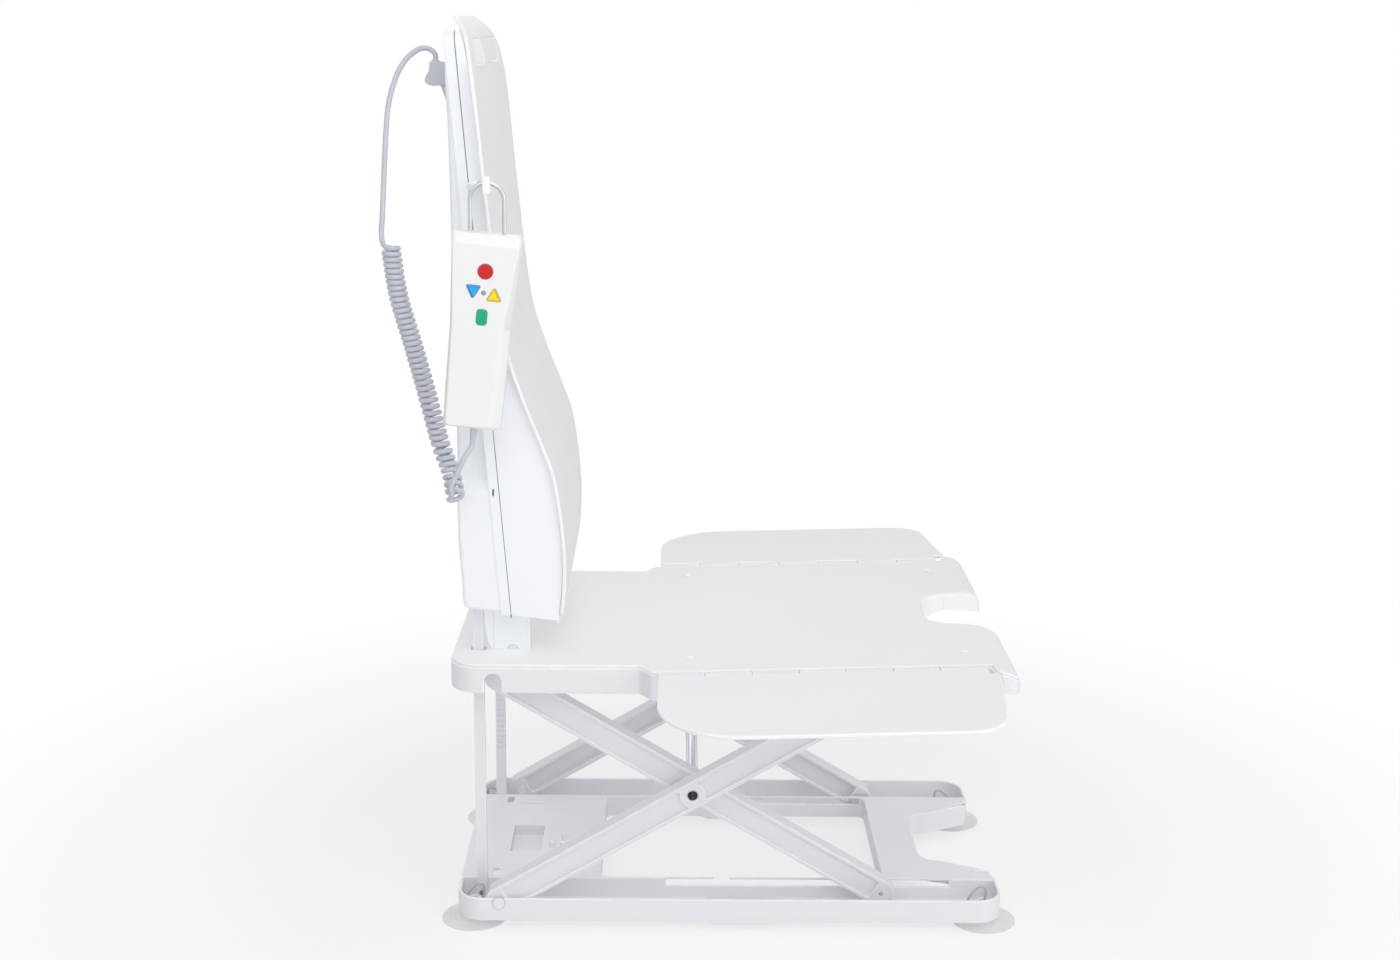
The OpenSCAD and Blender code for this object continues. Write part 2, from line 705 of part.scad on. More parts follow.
module barrels(first, reach, edge) for (i = [first : 2 : barrel_count - 1])
    translate([i * barrel_l + barrel_gap / 2, 0, 0]) {
        rotate([0, 90, 0]) cylinder(d = barrel_d, h = barrel_l - barrel_gap);
        block([0, barrel_l - barrel_gap], edge, [barrel_d / 2 - reach, barrel_d / 2]);
    }

module hinge_bores() rotate([0, 90, 0]) translate([0, 0, -1])
    cylinder(d = rod_d + 2 * fit, h = flap_l + 2);

module seat_frame() color(white_plastic) difference() {
    union() {
        difference() {
            intersection() {
                along_y(-seat_front_w, seat_front_w) seat_side(cover_t, skirt_z);
                along_z(skirt_z - 1, seat_top + seat_rise) seat_plan(0);
            }
            intersection() {
                along_y(-seat_front_w, seat_front_w) seat_side(cover_t + seat_plate, skirt_z - 20);
                along_z(skirt_z - 30, seat_top + seat_rise) seat_plan(seat_wall);
            }
        }
        both() {
            along_y(lug_y0, lug_y1) {
                translate([px - lug_r, top_z]) square([2 * lug_r, plate_under + 1 - top_z]);
                translate([px, top_z]) circle(lug_r);
            }
            along_y(rail_y0, rail_y1) difference() {
                intersection() {
                    seat_side(cover_t + 1, skirt_z - 20);
                    translate([slide_x0 - top_shoe[0] / 2 - rail_end, top_z - top_shoe[1] / 2 - rail_lip])
                        square([slide_x1 - slide_x0 + top_shoe[0] + 2 * rail_end, 60]);
                }
                translate([slide_x0 - top_shoe[0] / 2 - slide_gap, top_z - top_shoe[1] / 2 - slide_gap])
                    square([slide_x1 - slide_x0 + top_shoe[0] + 2 * slide_gap, top_shoe[1] + 2 * slide_gap]);
            }
            hinge_place() barrels(0, flap_t, [-barrel_room - 1, 0]);
        }
    }
    both() {
        bar_y(px, top_z, pin_d + 2 * fit, lug_y0 - 1, lug_y1 + 1);
        rack_passage(frame_top - 10, frame_top + 10);
        along_y(seat_rear_w / 2 - seat_wall - 1, seat_rear_w / 2 + 1)
            arch_slot(px - 2.5, skirt_z - 1, seat_top - 9.5, 16.6);
        hinge_place() hinge_bores();
        for (x = stud_x) translate([x, stud_y, 0]) cylinder(d = stud_d + 2 * fit, h = seat_top + seat_rise + stud_l);
    }
}

// Upright slot, open below and round above
module arch_slot(u, v0, v1, d) {
    translate([u - d / 2, v0]) square([d, v1 - d / 2 - v0]);
    translate([u, v1 - d / 2]) circle(d = d);
}

// Clear way for a rack through a level wall
module rack_passage(z0, z1) block(about(rack_x, rack_w + 2 * pass_gap),
    [rack_y0 - pass_gap, rack_y1 + pass_gap], [z0, z1]);

module seat_cover() color(cover_grey) difference() {
    intersection() {
        along_y(-seat_front_w, seat_front_w) polygon(concat(seat_line,
            [for (i = [len(seat_line) - 1 : -1 : 0]) seat_line[i] - [0, cover_t]]));
        along_z(skirt_z, seat_top + seat_rise + 5) seat_plan(1.5);
    }
    both() {
        rack_passage(frame_top - 1, seat_top + 1);
        for (x = stud_x) translate([x, stud_y, 0]) cylinder(d = stud_d + 2 * fit, h = seat_top + seat_rise + stud_l);
    }
}

// Height of the seat's surface at a place along X in front of the rear part
function surface_z(x) = seat_top + (x - rise_x0) * tan(slope);

module cover_studs() color(white_plastic) both() for (x = stud_x) translate([x, stud_y, surface_z(x)]) {
    translate([0, 0, -stud_l]) cylinder(d = stud_d, h = stud_l + stud_lift);
    translate([0, 0, stud_lift]) cylinder(d = stud_head, h = 1);
}

module upper_pins() color(white_plastic) both() {
    bar_y(px, top_z, pin_d, lug_y0, inner_y1);
    bar_y(px, top_z, pin_d + 4, lug_y0 - 1.5, lug_y0);
}

module hinge_rods() color(steel) both() hinge_place() rotate([0, 90, 0])
    cylinder(d = rod_d, h = flap_l);

module side_flap() color(cover_grey) hinge_place() rotate([-flap_droop, 0, 0]) {
    rear_r = 78;
    front_r = 36;
    difference() {
        union() {
            along_z(barrel_d / 2 - flap_t, barrel_d / 2) difference() {
                translate([0, plate_from]) square([flap_l, flap_w - plate_from]);
                corner_cut([rear_r, flap_w - rear_r], rear_r, -1);
                corner_cut([flap_l - front_r, flap_w - front_r], front_r, 1);
            }
            barrels(1, flap_t, [0, plate_from + 1]);
        }
        hinge_bores();
    }
}

// Backrest

function at_seat(p) = [px + p[0], seat_top + p[1]];
back_curve = [for (p = curve(back_line, 5)) at_seat(p)];
rear_curve = [for (p = curve(rear_line, 3)) at_seat(p)];
house_low_z = at_seat(front_low)[1];
house_top_z = seat_top + house_top;

// Front edge of the housing, set back from the back cover, between two heights
function house_x(z, set) = lookup(z, [for (p = back_curve) [p[1], p[0]]]) - back_cover_t - seat_gap - set;
function house_front(set, low, high) = concat([[house_x(low, set), low]],
    [for (p = back_curve) if (p[1] > low + 1 && p[1] < high - 1) [house_x(p[1], set), p[1]]],
    [[house_x(high, set), high]]);
function seam_x(z) = at_seat(seam_low)[0] + (z - at_seat(seam_low)[1]) * seam_lean;
function bottom_z(x) = at_seat(front_low)[1] + (x - at_seat(front_low)[0])
    * (rear_line[0][1] - front_low[1]) / (rear_line[0][0] - front_low[0]);

// Front view of the housing: half width, grown or shrunk by d
module house_plan(d) {
    h = house_w / 2 - d;
    top = house_top_z - d;
    r = house_corner - d;
    translate([-h, seat_top - 10]) square([2 * h, top - r - seat_top + 10]);
    translate([r - h, top - r - 1]) square([2 * (h - r), r + 1]);
    for (s = [-1, 1]) translate([s * (h - r), top - r]) circle(r);
}

// Front view of the rear shell behind its flange: narrow above, wide around the motor
module body_plan(d) {
    wide = house_w / 2 - 1.5 - d;
    slim = house_w / 2 - flange_set - d;
    top = house_top_z - d;
    steps = 8;
    edge = [for (i = [0 : steps]) [wide + (slim - wide) * (1 - cos(180 * i / steps)) / 2,
        seat_top + bulge_top - bulge_fade / 2 + bulge_fade * i / steps]];
    right = concat([[wide, seat_top - 10]], edge,
        arc([slim - house_corner, top - house_corner], house_corner, 0, 90));
    polygon(concat(right, [for (i = [len(right) - 1 : -1 : 0]) [-right[i][0], right[i][1]]]));
}

module rear_side(set, past) {
    low = [for (p = rear_curve) p + [set, 0]];
    polygon(concat([for (p = low) [p[0], min(max(p[1], bottom_z(p[0]) + set), house_top_z - set)]],
        [[seam_x(house_top_z - set) + past, house_top_z - set],
         [seam_x(bottom_z(px) + set) + past, bottom_z(seam_x(seat_top + seam_low[1])) + set]]));
}

module flange_side(set, past) {
    low = seat_top + seam_low[1] - 1;
    polygon([[seam_x(low) - flange_w + set, bottom_z(seam_x(low) - flange_w) + set],
        [seam_x(low) + past, bottom_z(seam_x(low)) + set],
        [seam_x(house_top_z) + past, house_top_z - set], [seam_x(house_top_z) - flange_w + set, house_top_z - set]]);
}

module front_side(set, past) {
    low = seat_top + seam_low[1] - 1;
    polygon(concat([[seam_x(low) - past, bottom_z(seam_x(low)) + set]],
        house_front(set, house_low_z + set, house_top_z - set),
        [[seam_x(house_top_z) - past, house_top_z - set]]));
}

module rear_shell() color(white_plastic) difference() {
    union() {
        intersection() {
            along_y(-house_w, house_w) rear_side(0, 0);
            along_x(px - house_deep, px + house_deep) body_plan(0);
        }
        intersection() {
            along_y(-house_w, house_w) flange_side(0, 0);
            along_x(px - house_deep, px + house_deep) house_plan(0);
        }
    }
    intersection() {
        along_y(-house_w, house_w) rear_side(house_wall, 1);
        along_x(px - house_deep, px + house_deep) body_plan(house_wall);
    }
    intersection() {
        along_y(-house_w, house_w) flange_side(house_wall, 1);
        along_x(px - house_deep, px + house_deep) house_plan(house_wall);
    }
    both() {
        rack_passage(seat_top + passage_h[0], seat_top + passage_h[1]);
        block(between(seam_x(seat_top + latch_h[0]), latch_x[0], latch_x[1]), between(house_w / 2, -latch_d, 1),
            between(seat_top, latch_h[0], latch_h[1]));
    }
    bar_x(plug_y, plug_z, socket_d, plug_x - socket_l, plug_x + socket_l);
}

module front_shell() color(white_plastic) {
    difference() {
        intersection() {
            along_y(-house_w, house_w) front_side(0, -seat_gap);
            along_x(px - house_deep, px + house_deep) house_plan(0);
        }
        intersection() {
            along_y(-house_w, house_w) front_side(house_wall, 1);
            along_x(px - house_deep, px + house_deep) house_plan(house_wall);
        }
    }
    both() bar_x(box_y0 + post_in, motor_z, 2 * post_r, box_x[1], px + post_end);
}

module cover_plan() {
    top = seat_top + back_line[len(back_line) - 1][1];
    high = back_top_w / 2;
    low = back_low_w / 2;
    tongue = tongue_w / 2;
    corner_z = top - cover_corner[1];
    right = concat([[tongue, seat_top + back_line[0][1]], [tongue, seat_top + tongue_top - 4],
        [tongue + 4, seat_top + tongue_top]],
        arc([low - 12, seat_top + tongue_top + 12], 12, -90, 0, 4),
        [for (i = [0 : 8]) let (a = 90 * i / 8)
            [high - cover_corner[0] * (1 - cos(a)), corner_z + cover_corner[1] * sin(a)]]);
    polygon(concat(right, [for (i = [len(right) - 1 : -1 : 0]) [-right[i][0], right[i][1]]]));
}

module back_cover() color(cover_grey) difference() {
    intersection() {
        along_y(-back_top_w, back_top_w) polygon(concat(back_curve,
            [for (i = [len(back_curve) - 1 : -1 : 0]) back_curve[i] - [back_cover_t, 0]]));
        along_x(px - house_deep, px + house_deep) cover_plan();
    }
    both() along_x(px - house_deep, px + house_deep)
        translate([window_inner + window_size[0] / 2,
            seat_top + back_line[len(back_line) - 1][1] - window_below - window_size[1] / 2])
        round_rect(window_size[0], window_size[1], 6);
}

// Feet that carry the backrest: each hooks over a half-round key on the seat
module backrest_bracket() color(white_plastic) along_y(bracket_y[0], bracket_y[1]) difference() {
    polygon(concat([[bracket_x[0], seat_top], [bracket_x[1], seat_top]],
        arc([bracket_x[1] + foot_r, bottom_z(bracket_x[1] + foot_r) - seat_gap - foot_r], foot_r, 180, 90, 5),
        [[bracket_x[0], bottom_z(bracket_x[0]) - seat_gap]]));
    translate([key_x, seat_top]) circle(key_r + seat_gap);
}

module bracket_keys() color(white_plastic) both() along_y(bracket_y[0], bracket_y[1]) intersection() {
    translate([key_x, seat_top]) circle(key_r);
    translate([key_x - key_r, seat_top]) square([2 * key_r, key_r]);
}

// Curved guide between each rack and the foot beside it
module rack_guide() color(white_plastic) along_y(rack_y0, rack_y1) {
    front = bracket_x[0];
    back = front - guide_t;
    polygon(concat([[front, seat_top], [front, bottom_z(front) - seat_gap], [back, bottom_z(back) - seat_gap]],
        arc([back + guide_r, seat_top + guide_h], guide_r, 180, 180 + guide_turn, 5), [[front - 2, seat_top]]));
}

module gear_motor() color(steel) difference() {
    union() {
        bar_y(motor_x, motor_z, motor_d, -box_y0, box_y0);
        both() block(box_x, [box_y0, pinion_y + box_over], box_z);
    }
    both() bar_x(pinion_y, pinion_z, pin_d + 2 * fit, box_x[0] - 1, box_x[0] + shaft_l + pass_gap);
}

module pinion() color(steel) {
    root_r = pinion_r - tooth_d;
    tooth_w = rack_pitch / 2;
    x0 = rack_x - pinion_w / 2;
    along_x(x0, x0 + pinion_w) translate([pinion_y, pinion_z]) {
        circle(root_r);
        for (i = [0 : pinion_teeth - 1]) rotate(360 * i / pinion_teeth)
            polygon([[root_r - 1, -tooth_w * 0.6], [pinion_r, -tooth_w * 0.25],
                [pinion_r, tooth_w * 0.25], [root_r - 1, tooth_w * 0.6]]);
    }
    bar_x(pinion_y, pinion_z, pin_d, x0 + pinion_w, box_x[0] + shaft_l);
}

// Socket, and the plug in it
socket_d = 18;
socket_l = 12;

module cord_socket() color(dark) bar_x(plug_y, plug_z, socket_d - 2 * fit, plug_x, plug_x + socket_l);

module cord_plug() color(cord_grey) {
    bar_x(plug_y, plug_z - 4, 15, plug_x - 8, plug_x);
    along_y(plug_y - 7, plug_y + 7) polygon([[plug_x - 3, plug_z - 26], [plug_x - 1, plug_z - 26],
        [plug_x - 1, plug_z + 8], [plug_x - 6, plug_z + 9], [plug_x - 17, plug_z + 9], [plug_x - 18, plug_z - 7],
        [plug_x - 9, plug_z - 10]]);
    bar_x(plug_y, plug_z - 3, 8, plug_x - 25, plug_x - 16);
    translate([cord_x, plug_y, plug_z + 8]) cylinder(d = 8.5, h = plug_top - plug_z - 8);
}

// Hook on the side of the housing that carries the hand control's wire
hook_y = -handset_at[1];
hook_w = 7;
hook_z = bail_z[1] + sqrt(pow(bail_w / 2 - bail_d / 2, 2) - pow(hook_w / 2, 2)) - seat_gap;

module handset_hook() color(white_plastic) near() {
    hook_t = 7;
    side = house_w / 2;
    root = between(seam_x(hook_z), 1, 10);
    peg = about(bail_x, hook_w);
    past_cover = back_top_w / 2 + pass_gap;
    along_z(hook_z - hook_t, hook_z) polygon([[root[0], side], [root[1], side], [root[1], past_cover],
        [peg[1], hook_y - 6], [peg[1], hook_y + 8], [peg[0], hook_y + 8], [peg[0], hook_y - 4],
        [root[0], past_cover + 6]]);
    block(peg, between(hook_y, 4, 8), between(hook_z, -1, 9));
}

// Hand control

module handset_place() translate(handset_at) rotate([0, handset_lean, 0]) children();

module handset_plan(d) {
    top = [handset_top_w / 2 - d, handset_h / 2 - d];
    low = [handset_low_w / 2 - d, handset_h / 2 - d];
    waist = [handset_waist_w / 2 - d, waist_z];
    r = handset_r - d;
    polygon(concat(arc(top - [r, r], r, 0, 90, 5), arc([r - top[0], top[1] - r], r, 90, 180, 5),
        [[-waist[0], waist[1]]], arc([r - low[0], r - low[1]], r, 180, 270, 5),
        arc([low[0] - r, r - low[1]], r, 270, 360, 5), [waist]));
}

module stop_plan(d) circle(d = stop_d + 2 * d);
module arrow_plan(d, up) rotate(up ? 0 : 180) {
    w = arrow_w / 2 + d * 1.8;
    polygon([[-w, -arrow_w * 0.42 - d], [w, -arrow_w * 0.42 - d], [0, arrow_w * 0.5 + d * 1.8]]);
}
module power_plan(d) round_rect(power_size[0] + 2 * d, power_size[1] + 2 * d, 3 + d);
module lamp_plan(d) circle(d = lamp_d + 2 * d);

// Hole or cap of each control on the face, grown by d
module control_plans(d) {
    translate(stop_at) stop_plan(d);
    translate(lower_at) arrow_plan(d, false);
    translate(raise_at) arrow_plan(d, true);
    translate(power_at) power_plan(d);
    translate(lamp_at) lamp_plan(d);
}

module bail_holes() for (s = [-1, 1]) translate([bail_x + s * bail_w / 2, -hook_y, bail_z[0] - seat_gap])
    cylinder(d = bail_d + 2 * seat_gap, h = bail_z[1] - bail_z[0]);

module handset_front() color(white_plastic) difference() {
    handset_place() {
        difference() {
            along_y(face_y, 0) handset_plan(0);
            along_y(face_y + handset_wall, 1) handset_plan(handset_wall);
            along_y(face_y - 1, face_y + handset_wall + 1) control_plans(slide_gap);
            gland_bore();
        }
        for (x = pillar_x, z = pillar_z) translate([x, 0, z])
            along_y(face_y + handset_wall - 1, board_y) circle(d = pillar_d);
    }
    bail_holes();
}

module handset_back() color(white_plastic) difference() {
    handset_place() difference() {
        along_y(0, handset_t / 2) handset_plan(0);
        along_y(-1, handset_t / 2 - handset_wall) handset_plan(handset_wall);
        gland_bore();
    }
    bail_holes();
}

module gland_bore() translate([0, 0, -handset_h / 2 - 1])
    cylinder(d = gland_d - 2 + 2 * seat_gap, h = handset_wall + 2);

module handset_bail() color(steel) {
    for (s = [-1, 1]) translate([bail_x + s * bail_w / 2, -hook_y, bail_z[0]])
        cylinder(d = bail_d, h = bail_z[1] - bail_z[0]);
    translate([bail_x, -hook_y, bail_z[1]]) rotate([90, 0, 0]) rotate_extrude(angle = 180)
        translate([bail_w / 2, 0]) circle(d = bail_d);
}

// A button: a cap through the face and a wider flange behind it
module button(at) handset_place() translate([at[0], 0, at[1]]) {
    along_y(face_y - button_out, face_y + handset_wall + slide_gap) children(0);
    along_y(face_y + handset_wall + slide_gap, face_y + handset_wall + slide_gap + flange_t) children(1);
}
module stop_button() color(button_red) button(stop_at) { stop_plan(0); stop_plan(1); }
module lower_button() color(button_blue) button(lower_at) { arrow_plan(0, false); arrow_plan(0.8, false); }
module raise_button() color(button_yellow) button(raise_at) { arrow_plan(0, true); arrow_plan(0.8, true); }
module power_button() color(button_green) button(power_at) { power_plan(0); power_plan(1); }

module signal_lamp() color(clear_grey) handset_place() translate([lamp_at[0], 0, lamp_at[1]])
    along_y(face_y - 0.4, board_y) lamp_plan(0);

module circuit_board() color(board_green) handset_place() block(board_x, [board_y, board_y + board_t], board_z);

module battery_pack() color(dark) handset_place()
    block(battery_x, [battery_y, handset_t / 2 - handset_wall], battery_z);

module cord_gland() color(cord_grey) handset_place() translate([0, 0, -handset_h / 2 - gland_l]) {
    cylinder(d = gland_d, h = gland_l);
    cylinder(d = gland_d - 2, h = gland_l + handset_wall);
}

// Cord

module free_tube(points, first, last) {
    n = len(points) - 1;
    t = [for (i = [0 : n]) i == 0 ? unit(first) : i == n ? unit(last) : unit(points[i + 1] - points[i - 1])];
    tube([for (i = [0 : n]) ring(points[i], t[i], [0, 1, 0.01], cord_d / 2, 10)]);
}

// Axis of the curl by length, its frame, and the helix round it
curl_seg = [for (i = [0 : len(curl_line) - 2]) norm(curl_line[i + 1] - curl_line[i])];
function total(v, i = 0) = i < len(v) ? v[i] + total(v, i + 1) : 0;
curl_len = total(curl_seg);
function locate(s, i = 0) = i == len(curl_seg) - 1 || s <= curl_seg[i] ? [i, s / curl_seg[i]]
    : locate(s - curl_seg[i], i + 1);
curl_ends = ends(curl_line);
function curl_axis(s) = let (w = locate(s), i = w[0])
    blend(curl_ends[i], curl_ends[i + 1], curl_ends[i + 2], curl_ends[i + 3], w[1]);
function curl_dir(s) = unit(curl_axis(min(s + 1, curl_len)) - curl_axis(max(s - 1, 0)));
curl_rings = 8;
curl_steps = curl_turns * curl_rings;
curl_start = 8;
curl_phase = 60;
helix_r = (curl_d - cord_d) / 2;
function eased(t) = t <= 0 ? 0 : t >= 1 ? 1 : t * t * (3 - 2 * t);
function curl_side(k) = let (t = curl_dir(curl_start + (curl_len - curl_start) * k / curl_steps),
    a = unit(cross(t, [1, 0, 0])), b = cross(t, a), w = 360 * (curl_steps - k) / curl_rings + curl_phase)
    a * cos(w) + b * sin(w);
helix = [for (k = [0 : curl_steps]) curl_axis(curl_start + (curl_len - curl_start) * k / curl_steps)
    + helix_r * eased(k / curl_rings) * curl_side(k)];
helix_end = unit(helix[curl_steps] - helix[curl_steps - 1]);
curl_out = helix[curl_steps] + cord_d * helix_end;
curl_in = unit(curl_axis(1) - curl_line[0]);
curl_gap = min([for (i = [0 : curl_steps - 6], j = [i + 6 : min(i + 20, curl_steps)])
    norm(helix[i] - helix[j])]) - cord_d;

module cord_lead() color(cord_grey) free_tube(
    curve(concat([[cord_x, plug_y, plug_top], [cord_x, plug_y, plug_top + cord_d]], lead_route,
        [curl_line[0] - cord_d * curl_in, curl_line[0]]), 2), [0, 0, 1], curl_in);

module cord_curl() color(cord_grey) {
    echo(curl_least_gap = curl_gap, curl_out = curl_out, helix_end = helix_end);
    centre = concat([curl_line[0], curl_line[0] + curl_in * cord_d],
        [for (k = [1 : curl_steps]) helix[k]], [curl_out]);
    side = concat([curl_side(0), curl_side(0)],
        [for (k = [1 : curl_steps]) curl_side(k)], [curl_side(curl_steps)]);
    n = len(centre) - 1;
    tube([for (i = [0 : n]) ring(centre[i], i < 2 ? curl_in : i > n - 2 ? helix_end
        : unit(centre[i + 1] - centre[i - 1]), side[i], cord_d / 2, 6)]);
}

gland_low = handset_at - (handset_h / 2 + gland_l) * [sin(handset_lean), 0, cos(handset_lean)];
gland_dir = [sin(handset_lean), 0, cos(handset_lean)];

module cord_tail() color(cord_grey) free_tube(
    curve(concat([curl_out, curl_out + cord_d * helix_end], tail_route,
        [gland_low - cord_d * gland_dir, gland_low]), 3), helix_end, gland_dir);

base_frame();
suction_cup(-1, -1);  // suction_cup_1
suction_cup(-1, 1);  // suction_cup_2
suction_cup(1, -1);  // suction_cup_3
suction_cup(1, 1);  // suction_cup_4
release_tabs();
near() rack();  // rack_near
far() rack();  // rack_far
rack_pins();
lower_pins();
near() outer_arm();  // outer_arm_near
far() outer_arm();  // outer_arm_far
centre_axle();
top_slide_pins();
near() inner_arm();  // inner_arm_near
far() inner_arm();  // inner_arm_far
low_slide_pins();
near() low_shoe();  // low_shoe_near
far() low_shoe();  // low_shoe_far
near() top_shoe();  // top_shoe_near
far() top_shoe();  // top_shoe_far
seat_frame();
seat_cover();
cover_studs();
upper_pins();
hinge_rods();
near() side_flap();  // side_flap_near
far() side_flap();  // side_flap_far
rear_shell();
front_shell();
back_cover();
near() backrest_bracket();  // backrest_bracket_near
far() backrest_bracket();  // backrest_bracket_far
bracket_keys();
near() rack_guide();  // rack_guide_near
far() rack_guide();  // rack_guide_far
gear_motor();
near() pinion();  // pinion_near
far() pinion();  // pinion_far
cord_socket();
cord_plug();
handset_hook();
handset_front();
handset_back();
handset_bail();
stop_button();
lower_button();
raise_button();
power_button();
signal_lamp();
circuit_board();
battery_pack();
cord_gland();
cord_lead();
cord_curl();
cord_tail();
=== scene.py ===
"""Looks of a battery bath lift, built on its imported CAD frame.

All sizes are metres in the CAD frame: +X is the front of the seat, +Y its left side, +Z is up,
and the origin lies on the floor under the middle of the tray. The near side is -Y.
"""

import json
import logging
import math
from collections.abc import Callable, Sequence
from dataclasses import dataclass, field
from enum import Enum

import bmesh
import bpy
from bmesh.types import BMEdge, BMesh, BMFace, BMLoop, BMVert
from bpy.types import ID, Material, Node, NodeTree, Object
from mathutils import Matrix, Vector
from mathutils.bvhtree import BVHTree
from mathutils.geometry import delaunay_2d_cdt

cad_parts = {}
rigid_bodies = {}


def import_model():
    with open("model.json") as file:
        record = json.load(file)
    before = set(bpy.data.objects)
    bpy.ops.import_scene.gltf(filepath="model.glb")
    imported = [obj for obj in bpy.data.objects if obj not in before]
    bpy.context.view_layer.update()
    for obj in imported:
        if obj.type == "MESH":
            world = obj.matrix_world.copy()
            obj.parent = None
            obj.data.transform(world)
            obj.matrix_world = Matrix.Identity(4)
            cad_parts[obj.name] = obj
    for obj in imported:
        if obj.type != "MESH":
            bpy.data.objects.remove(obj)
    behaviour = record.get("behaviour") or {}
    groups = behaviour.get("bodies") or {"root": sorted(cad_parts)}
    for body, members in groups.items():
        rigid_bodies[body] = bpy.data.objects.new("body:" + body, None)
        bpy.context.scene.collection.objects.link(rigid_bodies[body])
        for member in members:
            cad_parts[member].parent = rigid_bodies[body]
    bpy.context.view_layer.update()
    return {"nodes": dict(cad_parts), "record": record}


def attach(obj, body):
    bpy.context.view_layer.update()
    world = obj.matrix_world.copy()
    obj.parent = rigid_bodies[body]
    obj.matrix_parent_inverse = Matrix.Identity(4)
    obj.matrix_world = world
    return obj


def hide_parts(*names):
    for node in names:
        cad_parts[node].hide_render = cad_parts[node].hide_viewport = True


LOG = logging.getLogger("bath_lift")
MM = 0.001
Colour = tuple[float, float, float]
Point = tuple[float, float, float]
Outline = list[tuple[float, float]]
Feed = tuple[Node, str | int]
Inputs = dict[str | int, object]

# Kinds of node sockets
COLOUR, FLOAT, VECTOR = "NodeSocketColor", "NodeSocketFloat", "NodeSocketVector"
# Places that several sub-assemblies share: rear pivots, seat surface and racks
PIVOT_X = -0.2355
SEAT_TOP = 0.288543
RACK_X = -0.2565


class Wiring:
    """Adds nodes to one node tree and joins their sockets."""

    def __init__(self, tree: NodeTree) -> None:
        """Keeps the tree that the nodes go into."""
        self.tree = tree

    def add(self, kind: str, inputs: Inputs | None = None, **settings: object) -> Node:
        """Adds one node.

        Args:
            kind: The node's type name.
            inputs: What goes into its sockets, as for feed.
            **settings: Properties of the node itself.

        Returns:
            The new node.
        """
        node = self.tree.nodes.new(kind)
        for key, value in settings.items():
            setattr(node, key, value)
        self.feed(node, inputs or {})
        return node

    def feed(self, node: Node, inputs: Inputs) -> None:
        """Sets or links a node's input sockets.

        Args:
            node: The node.
            inputs: By socket, a value to set, or a node and its output to link.
        """
        for key, value in inputs.items():
            if isinstance(value, tuple) and isinstance(value[0], Node):
                source, out = value
                self.tree.links.new(source.outputs[out], node.inputs[key])
            else:
                node.inputs[key].default_value = value

    def maths(self, operation: str, *terms: float | Feed, clamp: bool = False) -> Feed:
        """Adds one operation on numbers.

        Args:
            operation: What it does.
            *terms: Its numbers, or outputs of other nodes, in order.
            clamp: Keeps the result between 0 and 1.

        Returns:
            The node and its output.
        """
        terms_by_place = dict(enumerate(terms))
        return self.add("ShaderNodeMath", terms_by_place, operation=operation, use_clamp=clamp), "Value"


class SharedEffect(Enum):
    """Shader node groups that several finishes use."""

    MOULD_GRAIN = "Mould grain"
    EDGE_WEAR_AND_HIGHLIGHT = "Edge wear and painted highlight"
    DRAWN_LINES = "Drawn lines"

    def tree(self) -> NodeTree:
        """Gives the group's tree, and builds it the first time."""
        found = bpy.data.node_groups.get(self.value)
        if found:
            return found
        builders: dict[SharedEffect, Callable[[NodeTree], None]] = {
            SharedEffect.MOULD_GRAIN: _wire_mould_grain,
            SharedEffect.EDGE_WEAR_AND_HIGHLIGHT: _wire_edge_wear_and_highlight,
            SharedEffect.DRAWN_LINES: _wire_drawn_lines,
        }
        tree = bpy.data.node_groups.new(self.value, "ShaderNodeTree")
        builders[self](tree)
        return tree

    def place(self, w: Wiring, inputs: Inputs) -> Node:
        """Puts the group into a material.

        Args:
            w: The material's wiring.
            inputs: What goes into the group, by name.

        Returns:
            The group node.
        """
        return w.add("ShaderNodeGroup", inputs, node_tree=self.tree())


def _sockets(tree: NodeTree, ins: dict[str, str], outs: dict[str, str]) -> tuple[Node, Node]:
    """Makes a group's named sockets.

    Args:
        tree: The group's tree.
        ins: Input names and their socket types.
        outs: Output names and their socket types.

    Returns:
        The group's input and output nodes.
    """
    for way, names in (("INPUT", ins), ("OUTPUT", outs)):
        for name, kind in names.items():
            tree.interface.new_socket(name=name, in_out=way, socket_type=kind)
    return tree.nodes.new("NodeGroupInput"), tree.nodes.new("NodeGroupOutput")


def _uneven(w: Wiring, texture: Feed, gin: Node) -> Feed:
    """Lets a group's roughness swing by its spread.

    Args:
        w: The group's wiring.
        texture: A texture between 0 and 1.
        gin: The group's input node.

    Returns:
        The uneven roughness.
    """
    swing = w.maths("SUBTRACT", texture, 0.5)
    return w.maths("MULTIPLY_ADD", swing, (gin, "Spread"), (gin, "Roughness"))


